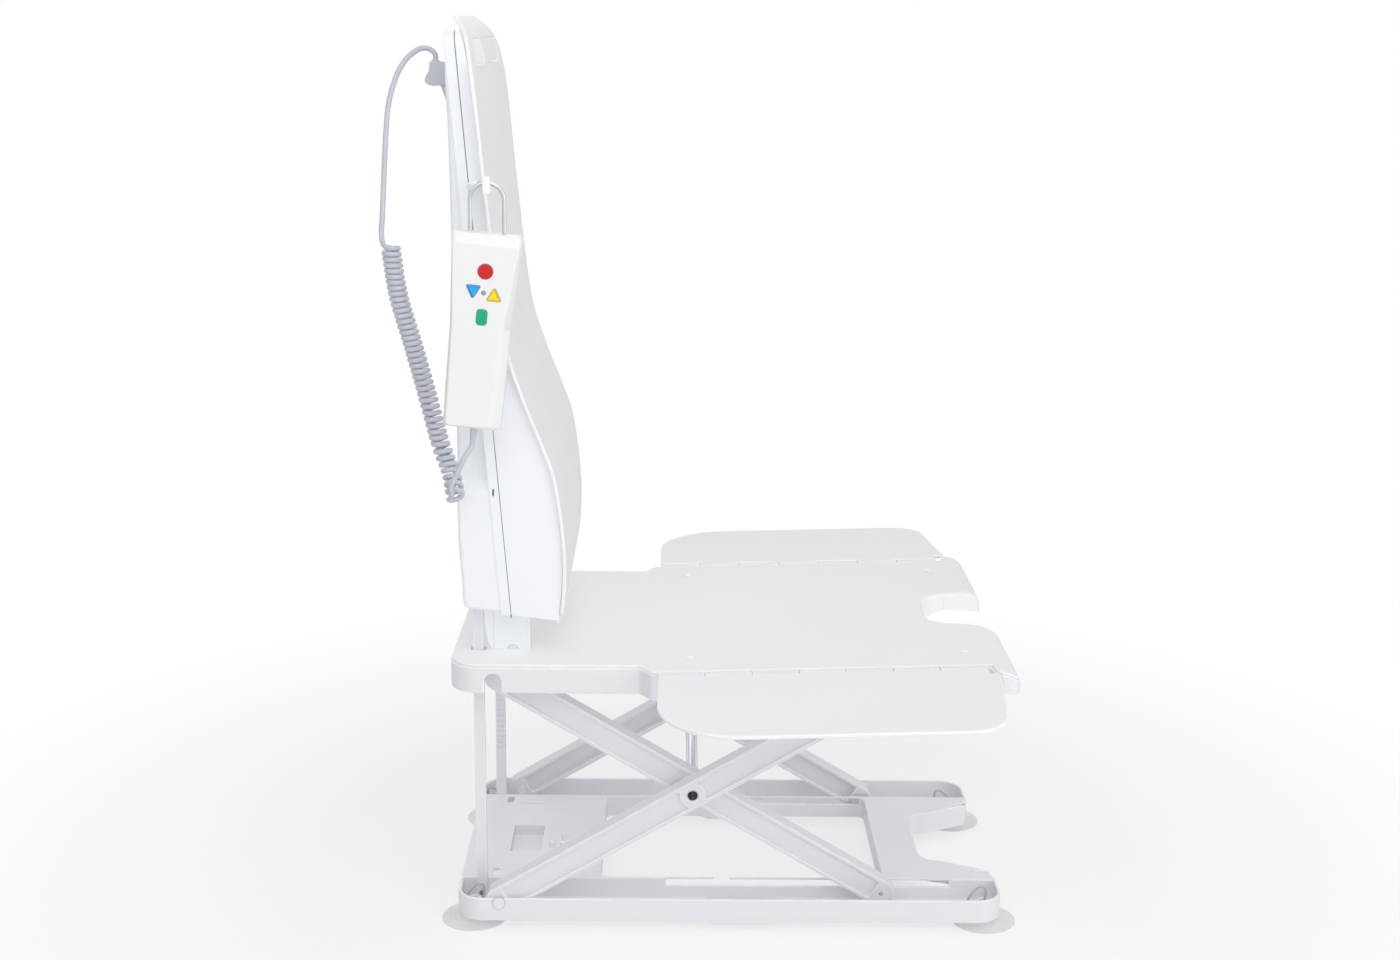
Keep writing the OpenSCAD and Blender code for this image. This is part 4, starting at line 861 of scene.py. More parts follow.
class MeshWork:
    """One piece's mesh while it is being made. Rounded edges carry an attribute that marks them for wear and
    a painted highlight.
    """

    CAD_MERGE = 2e-6
    CAD_TINY = 1e-6
    # Edges that turn by fewer degrees than this aren't rounded
    LEAST_TURN = 28.0
    FLAT_WEIGHT = 60

    def __init__(self) -> None:
        """Starts an empty mesh."""
        self.bm = bmesh.new()
        self.bm.faces.layers.float.new("wear_and_highlight")

    @classmethod
    def from_nodes(cls, *names: str) -> "MeshWork":
        """Starts from merged copies of CAD nodes.

        Args:
            *names: The CAD nodes.

        Returns:
            The work, with the CAD left as it is.
        """
        work = cls()
        for name in names:
            work.bm.from_mesh(bpy.data.objects[name].data)
        for layer in list(work.bm.loops.layers.uv.values()):
            work.bm.loops.layers.uv.remove(layer)
        return work.merge(cls.CAD_MERGE, cls.CAD_TINY)

    @classmethod
    def from_object(cls, obj: Object) -> "MeshWork":
        """Starts from an object's mesh, and takes the object away."""
        work = cls()
        work.bm.from_mesh(obj.data)
        bpy.data.objects.remove(obj)
        return work

    def merge(self, dist: float, tiny: float) -> "MeshWork":
        """Merges points that lie together.

        Args:
            dist: How near they lie.
            tiny: Edges no longer than this go.

        Returns:
            This work.
        """
        bmesh.ops.remove_doubles(self.bm, verts=self.bm.verts, dist=dist)
        bmesh.ops.dissolve_degenerate(self.bm, edges=self.bm.edges, dist=tiny)
        return self

    def outward(self) -> "MeshWork":
        """Turns all faces outwards."""
        bmesh.ops.recalc_face_normals(self.bm, faces=self.bm.faces)
        return self

    def soften(self, width: float | Callable[[Vector], float], segments: int = 3) -> "MeshWork":
        """Rounds outer edges.

        Args:
            width: How far the rounding reaches from each edge, or a function of the edge's middle.
            segments: Facets across the rounding.

        Returns:
            This work.
        """
        reach = width if callable(width) else lambda at: width
        self.bm.normal_update()
        self.bm = EdgeRounder(self.bm, reach, segments, self.LEAST_TURN).run()
        return self

    def rings(self, rings: Sequence[Sequence[Vector]], loop: bool = False, caps: bool = True) -> "MeshWork":
        """Skins a row of rings with the same number of points.

        Args:
            rings: The rings in order; they turn anticlockwise seen from the last ring.
            loop: Joins the last ring to the first.
            caps: Closes the two ends.

        Returns:
            This work.
        """
        rows = [[self.bm.verts.new(p) for p in ring] for ring in rings]
        pairs = list(zip(rows, rows[1:]))
        if loop:
            pairs.append((rows[-1], rows[0]))
        for low, high in pairs:
            for i in range(len(low)):
                j = (i + 1) % len(low)
                self.bm.faces.new((low[i], low[j], high[j], high[i]))
        if caps and not loop:
            self.bm.faces.new(list(reversed(rows[0])))
            self.bm.faces.new(rows[-1])
        return self

    def prism(
        self, outline: Outline, low: float, high: float, place: Callable[[float, float, float], Point]
    ) -> "MeshWork":
        """Pushes a flat outline along its third axis.

        Args:
            outline: The outline.
            low: Where the prism starts.
            high: Where it ends.
            place: Turns outline and depth into a point of the frame.

        Returns:
            This work, with its faces turned outwards.
        """
        return self.rings([[Vector(place(u, v, d)) for u, v in outline] for d in (low, high)]).outward()

    def lathe(self, profile: Sequence[tuple[float, float]], sides: int = 64) -> "MeshWork":
        """Turns a profile of radius and height about Z.

        Args:
            profile: Radius and height of each step; both ends lie on the axis or close a hollow.
            sides: Steps round the axis.

        Returns:
            This work, merged on its axis and with its faces turned outwards.
        """
        rings = [[Vector((x, y, z)) for x, y in circle(r, sides)] for r, z in profile]
        return self.rings(rings, caps=False).merge(EdgeRounder.MERGE, EdgeRounder.TINY).outward()

    def sweep(self, path: Sequence[Vector], radius: float, sides: int = 16) -> "MeshWork":
        """Draws a round bar along a path.

        Args:
            path: Points of its middle.
            radius: Its radius.
            sides: Steps round it.

        Returns:
            This work, with closed ends.
        """
        ends = zip([path[0], *path[:-1]], [*path[1:], path[-1]])
        tangents = [(after - before).normalized() for before, after in ends]
        side = tangents[0].orthogonal().normalized()
        rings: list[list[Vector]] = []
        for point, along in zip(path, tangents):
            side = (side - side.dot(along) * along).normalized()
            other = along.cross(side)
            rings.append([point + x * side + y * other for x, y in circle(radius, sides)])
        return self.rings(rings)

    def turn(self, matrix: Matrix) -> "MeshWork":
        """Moves the whole mesh by a matrix."""
        bmesh.ops.transform(self.bm, matrix=matrix, verts=self.bm.verts)
        return self

    def with_mirror(self) -> "MeshWork":
        """Adds the mesh's own image on the other side of the part."""
        made = bmesh.ops.duplicate(self.bm, geom=self.everything())["geom"]
        for v in made:
            if isinstance(v, BMVert):
                v.co.y = -v.co.y
        bmesh.ops.reverse_faces(self.bm, faces=[f for f in made if isinstance(f, BMFace)])
        return self

    def everything(self) -> list[BMVert | BMEdge | BMFace]:
        """All that the mesh holds."""
        return [*self.bm.verts, *self.bm.edges, *self.bm.faces]

    def bare(self, name: str) -> Object:
        """Ends the work without any shading."""
        mesh = bpy.data.meshes.new(name)
        self.bm.to_mesh(mesh)
        self.bm.free()
        return placed(name, mesh)

    def as_tree(self) -> BVHTree:
        """Ends the work as a tree for casting rays."""
        tree = BVHTree.FromBMesh(self.bm)
        self.bm.free()
        return tree

    def to_object(self, name: str, crease: float = 40.0) -> Object:
        """Ends the work.

        Args:
            name: The piece's name.
            crease: Edges that turn by more degrees than this stay sharp.

        Returns:
            The piece, smooth, with its flat faces flat.
        """
        obj = self.bare(name)
        obj.data.polygons.foreach_set("use_smooth", [True] * len(obj.data.polygons))
        obj.data.set_sharp_from_angle(angle=math.radians(crease))
        normals = obj.modifiers.new("Flat faces stay flat", "WEIGHTED_NORMAL")
        normals.keep_sharp, normals.weight = True, self.FLAT_WEIGHT
        return settle(obj)


@dataclass(frozen=True)
class MirroredRows:
    """A row of copies of one small mesh, and the same row on the other side, turned about."""

    count: int
    start: Point
    step: Point

    TREE = "Mirrored rows"

    @classmethod
    def tree(cls) -> NodeTree:
        """Gives the Geometry Nodes tree, and builds it the first time."""
        found = bpy.data.node_groups.get(cls.TREE)
        if found:
            return found
        tree = bpy.data.node_groups.new(cls.TREE, "GeometryNodeTree")
        shape = {"Geometry": "NodeSocketGeometry"}
        ways = {"Count": "NodeSocketInt", "Start": VECTOR, "Step": VECTOR, "Material": "NodeSocketMaterial"}
        gin, gout = _sockets(tree, {**shape, **ways}, shape)
        w = Wiring(tree)
        flip = w.add("ShaderNodeVectorMath", {0: (gin, "Start"), 1: (1.0, -1.0, 1.0)}, operation="MULTIPLY")
        both = w.add("GeometryNodeJoinGeometry")
        for start, angle in (((gin, "Start"), 0.0), ((flip, "Vector"), math.pi)):
            line = {"Count": (gin, "Count"), "Start Location": start, "Offset": (gin, "Step")}
            row = w.add("GeometryNodeMeshLine", line, mode="OFFSET")
            unit = {"Points": (row, "Mesh"), "Instance": (gin, "Geometry"), "Rotation": (0.0, 0.0, angle)}
            copies = w.add("GeometryNodeInstanceOnPoints", unit)
            w.feed(both, {"Geometry": (copies, "Instances")})
        real = w.add("GeometryNodeRealizeInstances", {"Geometry": (both, "Geometry")})
        looks = {"Geometry": (real, "Geometry"), "Material": (gin, "Material")}
        w.feed(gout, {"Geometry": (w.add("GeometryNodeSetMaterial", looks), "Geometry")})
        return tree

    def repeat(self, unit: Object, finish: Finish) -> Object:
        """Makes the rows from one copy, which they take the place of.

        Args:
            unit: One copy about the origin; its object becomes the rows.
            finish: The rows' finish.

        Returns:
            The same object with the rows as its plain mesh.
        """
        tree = self.tree()
        rows = unit.modifiers.new("Rows", "NODES")
        rows.node_group = tree
        values = {"Count": self.count, "Start": self.start, "Step": self.step}
        values["Material"] = finish.material()
        for item in tree.interface.items_tree:
            if item.in_out == "INPUT" and item.name in values:
                rows[item.identifier] = values[item.name]
        return settle(unit)


@dataclass
class Piece:
    """A finished object with the body it rides on, its finish, and the CAD nodes it stands for."""

    obj: Object
    body: str
    finish: Palette
    nodes: tuple[str, ...] = ()

    def dress(self) -> None:
        """Gives the piece its material and its place in the part."""
        self.obj.data.materials.clear()
        self.obj.data.materials.append(self.finish.value.material())
        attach(self.obj, self.body)
        if self.nodes:
            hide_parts(*self.nodes)
        LOG.info("%s rides on %s in %s", self.obj.name, self.body, self.finish.value.name)


@dataclass
class SubAssembly:
    """Pieces that belong together."""

    pieces: list[Piece] = field(default_factory=list, init=False)

    def build(self) -> None:
        """Makes the meshes; each sub-assembly has its own."""
        raise NotImplementedError

    def dress(self) -> None:
        """Dresses every piece."""
        for piece in self.pieces:
            piece.dress()

    def keep(self, obj: Object, body: str, finish: Palette, *nodes: str) -> None:
        """Adds a piece.

        Args:
            obj: Its object.
            body: The body that it rides on.
            finish: Its finish.
            *nodes: CAD nodes that it stands for.
        """
        self.pieces.append(Piece(obj, body, finish, nodes))

    def soft_copy(self, node: str, body: str, finish: Palette, width: float, segments: int = 3) -> None:
        """Adds a CAD node's copy with its outer edges rounded.

        Args:
            node: The CAD node, which the copy stands for.
            body: The body that it rides on.
            finish: Its finish.
            width: Width of the rounding.
            segments: Facets across the rounding.
        """
        made = MeshWork.from_nodes(node).soften(width, segments).to_object(f"{node}_dressed")
        self.keep(made, body, finish, node)


@dataclass
class Tray(SubAssembly):
    """Base tray with its rear pivot heads, suction cups and their pull loops."""

    rim: float = 0.0014
    cup_x: float = 0.2635
    cup_y: float = 0.1255
    cup_r: float = 0.0335
    stem_r: float = 0.004
    stem_top: float = 0.0205
    floor_z: float = 0.0145
    loop_wire: float = 0.0012
    loop_back: float = 0.008
    head_at: Point = (PIVOT_X, 0.158, 0.0312)
    head_r: float = 0.006
    ring_w: float = 0.0009
    ring_lap: float = 0.0001
    ring_half: float = 0.0005
    pin_edge: float = 0.0006

    # Bends of a pull loop, in millimetres along X and up from the tray's floor
    LOOP = (
        (-9.5, 0), (-8.4, 6.5), (-4.6, 14), (0.8, 20), (5.6, 22.4),
        (9.2, 20.6), (10, 15), (9.2, 7.5), (8.8, 0),
    )  # fmt: skip

    def build(self) -> None:
        """Makes the tray, its pins, cups and loops, and the grey rings of painted shade round the pin heads.
        """
        self.soft_copy("base_frame", "base", Palette.FRAME_WHITE, self.rim)
        self.soft_copy("lower_pins", "base", Palette.FRAME_WHITE, self.pin_edge)
        x, y = self.cup_x, self.cup_y
        corners = MirroredRows(2, (-x, -y, 0.0), (2 * x, 0.0, 0.0))
        cups = corners.repeat(self.cup(), Palette.CUP_VINYL.value)
        self.keep(cups, "base", Palette.CUP_VINYL, *(f"suction_cup_{i}" for i in range(1, 5)))
        above = MirroredRows(2, (-x, -y, self.floor_z), (2 * x - self.loop_back, 0.0, 0.0))
        loops = above.repeat(self.pull_loop(), Palette.LOOP_VINYL.value)
        self.keep(loops, "base", Palette.LOOP_VINYL, "release_tabs")
        # Painted shade: grey rings where the edges of the pivot heads fall in shade
        self.keep(self.head_shade_rings(), "base", Palette.SHOE_NYLON_AND_RING_SHADE)

    def cup(self) -> Object:
        """One cup: a thin dished skirt with a bead at its rim, and a stem."""
        r, stem, top = self.cup_r, self.stem_r, self.stem_top
        profile = [
            (0.0, 0.005), (0.010, 0.0046), (r - 0.012, 0.003), (r - 0.006, 0.0014), (r - 0.002, 0.0),
            (r - 0.0006, 0.0), (r, 0.0004), (r, 0.0011), (r - 0.0008, 0.0016), (r - 0.003, 0.0021),
            (r - 0.006, 0.0032), (r - 0.012, 0.0056), (0.016, 0.0083), (0.0135, 0.0098), (0.0122, 0.0110),
            (0.0118, 0.0115), (stem, 0.0115), (stem, top - 0.0008), (stem - 0.0008, top), (0.0, top),
        ]  # fmt: skip
        return MeshWork().lathe(profile, 72).to_object("suction_cups")

    def pull_loop(self) -> Object:
        """One loop of clear cord, leaning as its legs pull it."""
        path = smooth_line([Vector((x * MM, 0.0, z * MM)) for x, z in self.LOOP], 5)
        return MeshWork().sweep(path, self.loop_wire, 12).to_object("pull_loops")

    def head_shade_rings(self) -> Object:
        """Painted shade: a thin grey ring round the head of each rear pivot pin, where its edge falls in
        shade.
        """
        inner, outer, half = self.head_r - self.ring_lap, self.head_r + self.ring_w, self.ring_half
        profile = [(inner, -half), (outer, -half), (outer, half), (inner, half), (inner, -half)]
        rings = MeshWork().lathe(profile, 48).turn(lying(self.head_at)).with_mirror()
        return rings.to_object("pivot_head_shade_rings")


@dataclass
class Racks(SubAssembly):
    """The two toothed bars that the drive climbs."""

    width: float = 0.011
    face_y: float = 0.109
    back_y: float = 0.117
    low_z: float = 0.0145
    top_z: float = 0.5621
    first_tooth: float = 0.091
    pitch: float = math.pi * 0.002
    teeth: int = 73
    tooth_depth: float = 0.0035
    tooth_sunk: float = 0.0005
    tooth_in: float = 0.0001
    tooth_edge: float = 0.0004
    bar_edge: float = 0.0007

    def build(self) -> None:
        """Makes both bars and their teeth."""
        root = self.face_y + self.tooth_depth
        end = self.first_tooth + self.teeth * self.pitch
        back, face, low, top, first = self.back_y, self.face_y, self.low_z, self.top_z, self.first_tooth
        side = [
            (back, low), (back, top), (face, top), (face, end),
            (root, end), (root, first), (face, first), (face, low),
        ]  # fmt: skip
        half = self.width / 2
        bars = MeshWork().prism(side, RACK_X - half, RACK_X + half, lambda u, v, d: (d, u, v))
        bars.soften(self.bar_edge, 2).with_mirror()
        self.keep(bars.to_object("rack_bars"), "base", Palette.FRAME_WHITE, "rack_near", "rack_far")
        rows = MirroredRows(self.teeth, (RACK_X, -root, first), (0.0, 0.0, self.pitch))
        self.keep(rows.repeat(self.tooth(), Palette.FRAME_WHITE.value), "base", Palette.FRAME_WHITE)

    def tooth(self) -> Object:
        """One tooth, standing inwards from the root of the near bar."""
        p, d, foot = self.pitch, self.tooth_depth, -self.tooth_sunk
        side = [(foot, 0.4 * p), (d, 0.55 * p), (d, p), (foot, 1.15 * p)]
        half = self.width / 2 - self.tooth_in
        work = MeshWork().prism(side, -half, half, lambda u, v, x: (x, u, v))
        return work.soften(lambda at: self.tooth_edge if at.y > 0.0 else 0.0, 1).to_object("rack_teeth")


@dataclass
class Scissor(SubAssembly):
    """The four arms, the tube through them and their pins."""

    edge: float = 0.0011
    middle: Point = (-0.03981, 0.0, 0.14762)
    tube_half: float = 0.154
    tube_r: float = 0.00625
    tube_wall: float = 0.00125
    tube_edge: float = 0.0004
    pin_edge: float = 0.0005

    def build(self) -> None:
        """Makes the arms and the tube."""
        # The arms take a darker copy of the frame's white: painted shade, as their panels face the lamps
        for side in ("near", "far"):
            self.soft_copy(f"outer_arm_{side}", "outer_arms", Palette.ARM_WHITE_SHADED, self.edge)
            self.soft_copy(f"inner_arm_{side}", "inner_arms", Palette.ARM_WHITE_SHADED, self.edge)
        self.soft_copy("top_slide_pins", "outer_arms", Palette.STEEL, self.pin_edge, 2)
        self.keep(self.tube(), "outer_arms", Palette.STEEL, "centre_axle")

    def tube(self) -> Object:
        """The bright tube, with turned ends."""
        r, half, cut = self.tube_r, self.tube_half, self.tube_edge
        bore = r - self.tube_wall
        profile = [
            (bore, -half + cut), (bore + cut, -half), (r - cut, -half), (r, -half + cut),
            (r, half - cut), (r - cut, half), (bore + cut, half), (bore, half - cut), (bore, -half + cut),
        ]  # fmt: skip
        return MeshWork().lathe(profile, 48).turn(lying(self.middle)).to_object("centre_tube")


@dataclass
class Seat(SubAssembly):
    """Seat frame, its cover with studs and a lip in the leg notch, and the side flaps."""

    frame_edge: float = 0.0014
    cover_edge: float = 0.0012
    flap_edge: float = 0.0017
    stud_y: float = 0.142
    stud_x: tuple[float, float] = (-0.0445, 0.2285)
    stud_r: float = 0.0045
    stud_deep: float = 0.009
    shank_r: float = 0.0025
    brim: tuple[float, float] = (0.0002, 0.0005)
    brim_cut: float = 0.0003
    dome: float = 0.0009
    slope: float = math.radians(1.78991)
    rise_x: float = -0.0855
    hinge_y: float = 0.1875
    flap_w: float = 0.158
    flap_corner: float = 0.036
    slant_from: tuple[float, float] = (0.0169, 0.0179)
    slant: tuple[float, float] = (0.013, -0.004)
    rise: float = 0.0105
    curl_x: float = 0.2505
    curl_r: float = 0.0355
    notch_x: float = 0.2045
    notch_r: float = 0.030
    notch_half: float = 0.050
    mouth: tuple[float, float] = (0.2735, 0.0627)
    lip_roll: float = 0.0044
    lip_over: float = 0.0004
    lip_crease: float = 50.0
    wall_in: float = 0.0015
    foot_gap: float = 0.0003
    below: float = 0.2
    snap: float = 1e-5

    # The lip's hem on the cover and its hidden back: distance in from the notch, and height over the cover
    HEM = ((0.007, 0.00002), (0.0055, 0.0002))
    BACK = ((0.0012, -0.006), (0.0068, -0.0012))

    def build(self) -> None:
        """Makes the seat, its cover, flaps, studs and lip."""
        self.soft_copy("seat_frame", "seat", Palette.FRAME_WHITE, self.frame_edge)
        self.soft_copy("seat_cover", "seat", Palette.COVER_GREY, self.cover_edge)
        for side in ("near", "far"):
            node = f"side_flap_{side}"
            flap = self.slanted(node).soften(self.flap_edge).to_object(f"{node}_dressed")
            self.keep(flap, f"flap_{side}", Palette.COVER_GREY, node)
        rear, front = self.stud_x
        low, high = self.surface(rear), self.surface(front)
        rows = MirroredRows(2, (rear, -self.stud_y, low), (front - rear, 0.0, high - low))
        studs = rows.repeat(self.stud(), Palette.HOUSING_WHITE.value)
        self.keep(studs, "seat", Palette.HOUSING_WHITE, "cover_studs")
        self.keep(self.notch_lip(), "seat", Palette.COVER_GREY)

    def slanted(self, node: str) -> MeshWork:
        """Slants a flap's front edge: further forward by the hinge than at its outer end.

        Args:
            node: The flap's CAD node.

        Returns:
            Its copy, moved along the hinge line only.
        """
        flap = MeshWork.from_nodes(node)
        front = max(v.co.x for v in flap.bm.verts)
        for start in self.slant_from:
            for side in (-1.0, 1.0):
                at = Vector((0.0, side * (self.hinge_y + start), 0.0))
                plane = {"plane_co": at, "plane_no": (0.0, 1.0, 0.0)}
                bmesh.ops.bisect_plane(flap.bm, geom=flap.everything(), dist=MeshWork.CAD_TINY, **plane)
        along = Vector((math.cos(self.slope), 0.0, math.sin(self.slope)))
        by_hinge, by_end = self.slant
        for v in flap.bm.verts:
            out = abs(v.co.y) - self.hinge_y
            near_front = (v.co.x - front + self.flap_corner) / self.flap_corner
            if out > self.slant_from[1] - self.snap and near_front > 0.0:
                v.co += along * near_front * (by_hinge + (by_end - by_hinge) * out / self.flap_w)
        return flap

    def surface(self, x: float) -> float:
        """Height of the cover's surface at a place along X: a slope, then the curled front edge."""
        if x <= self.curl_x:
            return SEAT_TOP + (x - self.rise_x) * math.tan(self.slope)
        lean = math.asin(math.sin(self.slope) - (x - self.curl_x) / self.curl_r)
        return SEAT_TOP + self.rise + self.curl_r * (math.cos(lean) - math.cos(self.slope))

    def notch_lip(self) -> Object:
        """The cover's edge, rolled over the walls of the leg notch down to their foot."""
        skin = MeshWork.from_nodes("seat_frame").as_tree()
        roll, over = self.lip_roll, self.lip_over
        top = [*self.HEM, (roll - over, over)]
        for k in range(1, 7):
            a = math.radians(90 + 15 * k)
            top.append((roll - over + roll * math.cos(a), over - roll + roll * math.sin(a)))
        down = [(-over, None), (self.BACK[0][0], None)]
        rings: list[list[Vector]] = []
        for p, n in self.notch_line():
            wall = p - n * self.wall_in
            hit = skin.ray_cast(Vector((wall.x, wall.y, self.below)), Vector((0.0, 0.0, 1.0)))[0]
            ring = []
            for inward, up in [*top, *down, *self.BACK]:
                at = p - n * inward
                high = hit.z + self.foot_gap if up is None else self.surface(at.x) + up
                ring.append(Vector((at.x, at.y, high)))
            rings.append(ring)
        return MeshWork().rings(rings).outward().to_object("notch_lip", self.lip_crease)

    def notch_line(self) -> list[tuple[Vector, Vector]]:
        """The leg notch seen from above, from its mouth round to its mouth.

        Returns:
            Points along its edge, each with the way into the notch.
        """
        mouth, r, h = Vector(self.mouth), self.notch_r, self.notch_half
        bend = Vector((self.notch_x + r, h))
        flare = (mouth - bend).normalized()
        half = [(mouth.lerp(bend, k / 10), Vector((flare.y, -flare.x))) for k in range(10)]
        for k in range(1, 13):
            a = math.radians(7.5 * k)
            out = Vector((-math.sin(a), math.cos(a)))
            half.append((Vector((self.notch_x + r, h - r)) + r * out, -out))
        half += [(Vector((self.notch_x, (h - r) * (1 - k / 4))), Vector((1.0, 0.0))) for k in range(1, 5)]
        return half + [(Vector((p.x, -p.y)), Vector((n.x, -n.y))) for p, n in reversed(half[:-1])]

    def stud(self) -> Object:
        """One domed stud head on its shank."""
        r, shank, deep, (low, high) = self.stud_r, self.shank_r, -self.stud_deep, self.brim
        profile = [(0.0, deep), (shank, deep), (shank, low), (r - self.brim_cut, low), (r, high)]
        angles = (math.radians(15 * k) for k in range(1, 7))
        profile += [(r * math.cos(a), high + self.dome * math.sin(a)) for a in angles]
        profile[-1] = (0.0, profile[-1][1])
        return MeshWork().lathe(profile, 32).to_object("cover_studs_domed")


@dataclass
class Backrest(SubAssembly):
    """Housing shells with painted shade in their seam and at their latches, back cover, feet, rack guides
    and hook.
    """

    rear_round: float = 0.006
    shell_edge: float = 0.0008
    cover_edge: float = 0.0017
    window_z: tuple[float, float] = (0.5743, 0.5967)
    window_y: tuple[float, float] = (0.0303, 0.1117)
    window_r: float = 0.0057
    window_set: float = 0.0006
    cover_t: float = 0.004
    seam_low: tuple[float, float] = (0.0155, 0.045)
    seam_high: tuple[float, float] = (-0.031, 0.6055)
    half_w: float = 0.154
    corner: float = 0.014
    shade_half: float = 0.00055
    shade_set: float = 0.0001
    shade_gap: float = 0.0001
    shade_deep: float = 0.001
    latch_x: tuple[float, float] = (-0.0068, -0.0052)
    latch_h: tuple[float, float] = (0.1685, 0.1745)
    latch_y: tuple[float, float] = (0.152, 0.1534)
    shade_foot: float = 0.0004
    flange: float = 0.014
    foot_edge: float = 0.001
    guide_edge: float = 0.0006
    hook_edge: float = 0.0016

    def build(self) -> None:
        """Makes the shells, the cover and the small parts."""
        rear = MeshWork.from_nodes("rear_shell")
        rear.soften(lambda at: self.rear_round if self.behind_flange(at) else self.shell_edge, 4)
        self.keep(rear.to_object("rear_shell_dressed"), "seat", Palette.HOUSING_WHITE, "rear_shell")
        self.soft_copy("front_shell", "seat", Palette.HOUSING_WHITE, self.shell_edge, 2)
        self.soft_copy("back_cover", "seat", Palette.COVER_GREY, self.cover_edge)
        for side in ("near", "far"):
            self.soft_copy(f"backrest_bracket_{side}", "seat", Palette.HOUSING_WHITE, self.foot_edge)
            self.soft_copy(f"rack_guide_{side}", "seat", Palette.HOUSING_WHITE, self.guide_edge, 2)
        self.soft_copy("handset_hook", "seat", Palette.HOUSING_WHITE, self.hook_edge)
        self.window_plates()
        # Painted shade: a dark strip where the seam groove between the shells falls in shade
        self.keep(self.painted_gap_shade(), "seat", Palette.GAP_SHADE)
        # Painted shade: dark blocks where the latch recesses fall in shade
        self.keep(self.latch_recess_shade(), "seat", Palette.GAP_SHADE)

    def seam_x(self, z: float) -> float:
        """Where the seam between the shells lies along X at a height."""
        (x0, h0), (x1, h1) = self.seam_low, self.seam_high
        return PIVOT_X + x0 + (z - SEAT_TOP - h0) * (x1 - x0) / (h1 - h0)

    def painted_gap_shade(self) -> Object:
        """Painted shade: a dark strip in the groove between the shells, up one side, over the top and down
        the other.
        """
        (_, h0), (_, h1), r = self.seam_low, self.seam_high, self.corner
        low, top = SEAT_TOP + h0 + self.shade_foot, SEAT_TOP + h1
        line = [(0.0, self.half_w, low + (top - r - low) * k / 8) for k in range(8)]
        for k in range(11):
            a = math.radians(9 * k)
            line.append((a, self.half_w - r + r * math.cos(a), top - r + r * math.sin(a)))
        line += [(math.pi - a, -y, z) for a, y, z in reversed(line)]
        half, face, deep = self.shade_half, self.shade_set, self.shade_deep
        section = ((-half, face), (half, face), (half, deep), (-half, deep))
        rings: list[list[Vector]] = []
        for a, y, z in line:
            out, x = Vector((0.0, math.cos(a), math.sin(a))), self.seam_x(z) + self.shade_gap
            rings.append([Vector((x + across, y, z)) - out * depth for across, depth in section])
        return MeshWork().rings(rings).outward().to_object("shell_seam_shade")

    def latch_recess_shade(self) -> Object:
        """Painted shade: a dark block at the bottom of each shell latch, where its recess falls in shade."""
        low, high = (SEAT_TOP + h for h in self.latch_h)
        rear, front = (self.seam_x(low) + x for x in self.latch_x)
        box = [(rear, low), (front, low), (front, high), (rear, high)]
        shade_blocks = MeshWork().prism(box, *self.latch_y, lambda u, v, d: (u, d, v)).with_mirror()
        return shade_blocks.to_object("latch_recess_shade")

    def window_plates(self) -> None:
        """Fills the cover's windows: the housing's white pad in the near one, and a blank in the far one."""
        skin = MeshWork.from_nodes("back_cover").as_tree()
        low, high = (SEAT_TOP + h for h in self.window_z)
        (inner, outer), r, rows = self.window_y, self.window_r, 24
        pad, blank = ("window_pad", -1, Palette.HOUSING_WHITE), ("window_blank", 1, Palette.COVER_GREY)
        for name, side, finish in (pad, blank):
            rings: list[list[Vector]] = []
            for k in range(rows + 1):
                z = low + (high - low) * (1 - math.cos(math.pi * k / rows)) / 2
                into = max(low + r - z, z - high + r, 0.0)
                trim = r - math.sqrt(max(r * r - into * into, 0.0))
                x = skin.ray_cast(Vector((1.0, 0.0, z)), Vector((-1.0, 0.0, 0.0)))[0].x
                face, back = x - self.window_set, x - self.cover_t
                one, two = side * (inner + trim), side * (outer - trim)
                section = ((face, one), (face, two), (back, two), (back, one))
                rings.append([Vector((at, y, z)) for at, y in section])
            self.keep(MeshWork().rings(rings).outward().to_object(name), "seat", finish)

    def behind_flange(self, at: Vector) -> bool:
        """True for a place on the rear shell behind its seam flange."""
        return at.x < self.seam_x(at.z) - self.flange


# Buttons: radius of the round one, half sizes and corners of the pill, tip, foot and corners of the arrows
ROUND_R = 0.0067
PILL_HALF, PILL_R = (0.0045, 0.007), 0.0028
ARROW_TIP, ARROW_FOOT, ARROW_R = 0.0065, -0.00546, 0.0008
# How far an arrow's tip moves out for each step that its sides grow
TIP_GROWTH = 1.8


class ButtonShape(Enum):
    """Outlines of the hand control's buttons."""

    ROUND = "round"
    DOWN = "pointing down"
    UP = "pointing up"
    PILL = "upright pill"

    def outline(self, grow: float = 0.0) -> Outline:
        """Draws the button on the face.

        Args:
            grow: How far its hole or rim stands out from it.

        Returns:
            The outline, anticlockwise, about the button's middle.
        """
        if self is ButtonShape.ROUND:
            return circle(ROUND_R + grow, 40)
        if self is ButtonShape.PILL:
            w, h = (half + grow for half in PILL_HALF)
            return rounded_outline([(-w, -h), (w, -h), (w, h), (-w, h)], PILL_R + grow)
        tip, foot = ARROW_TIP + TIP_GROWTH * grow, ARROW_FOOT - grow
        corners = [(-tip, foot), (tip, foot), (0.0, tip)]
        if self is ButtonShape.DOWN:
            corners = [(-x, -z) for x, z in corners]
        return rounded_outline(corners, ARROW_R + grow)


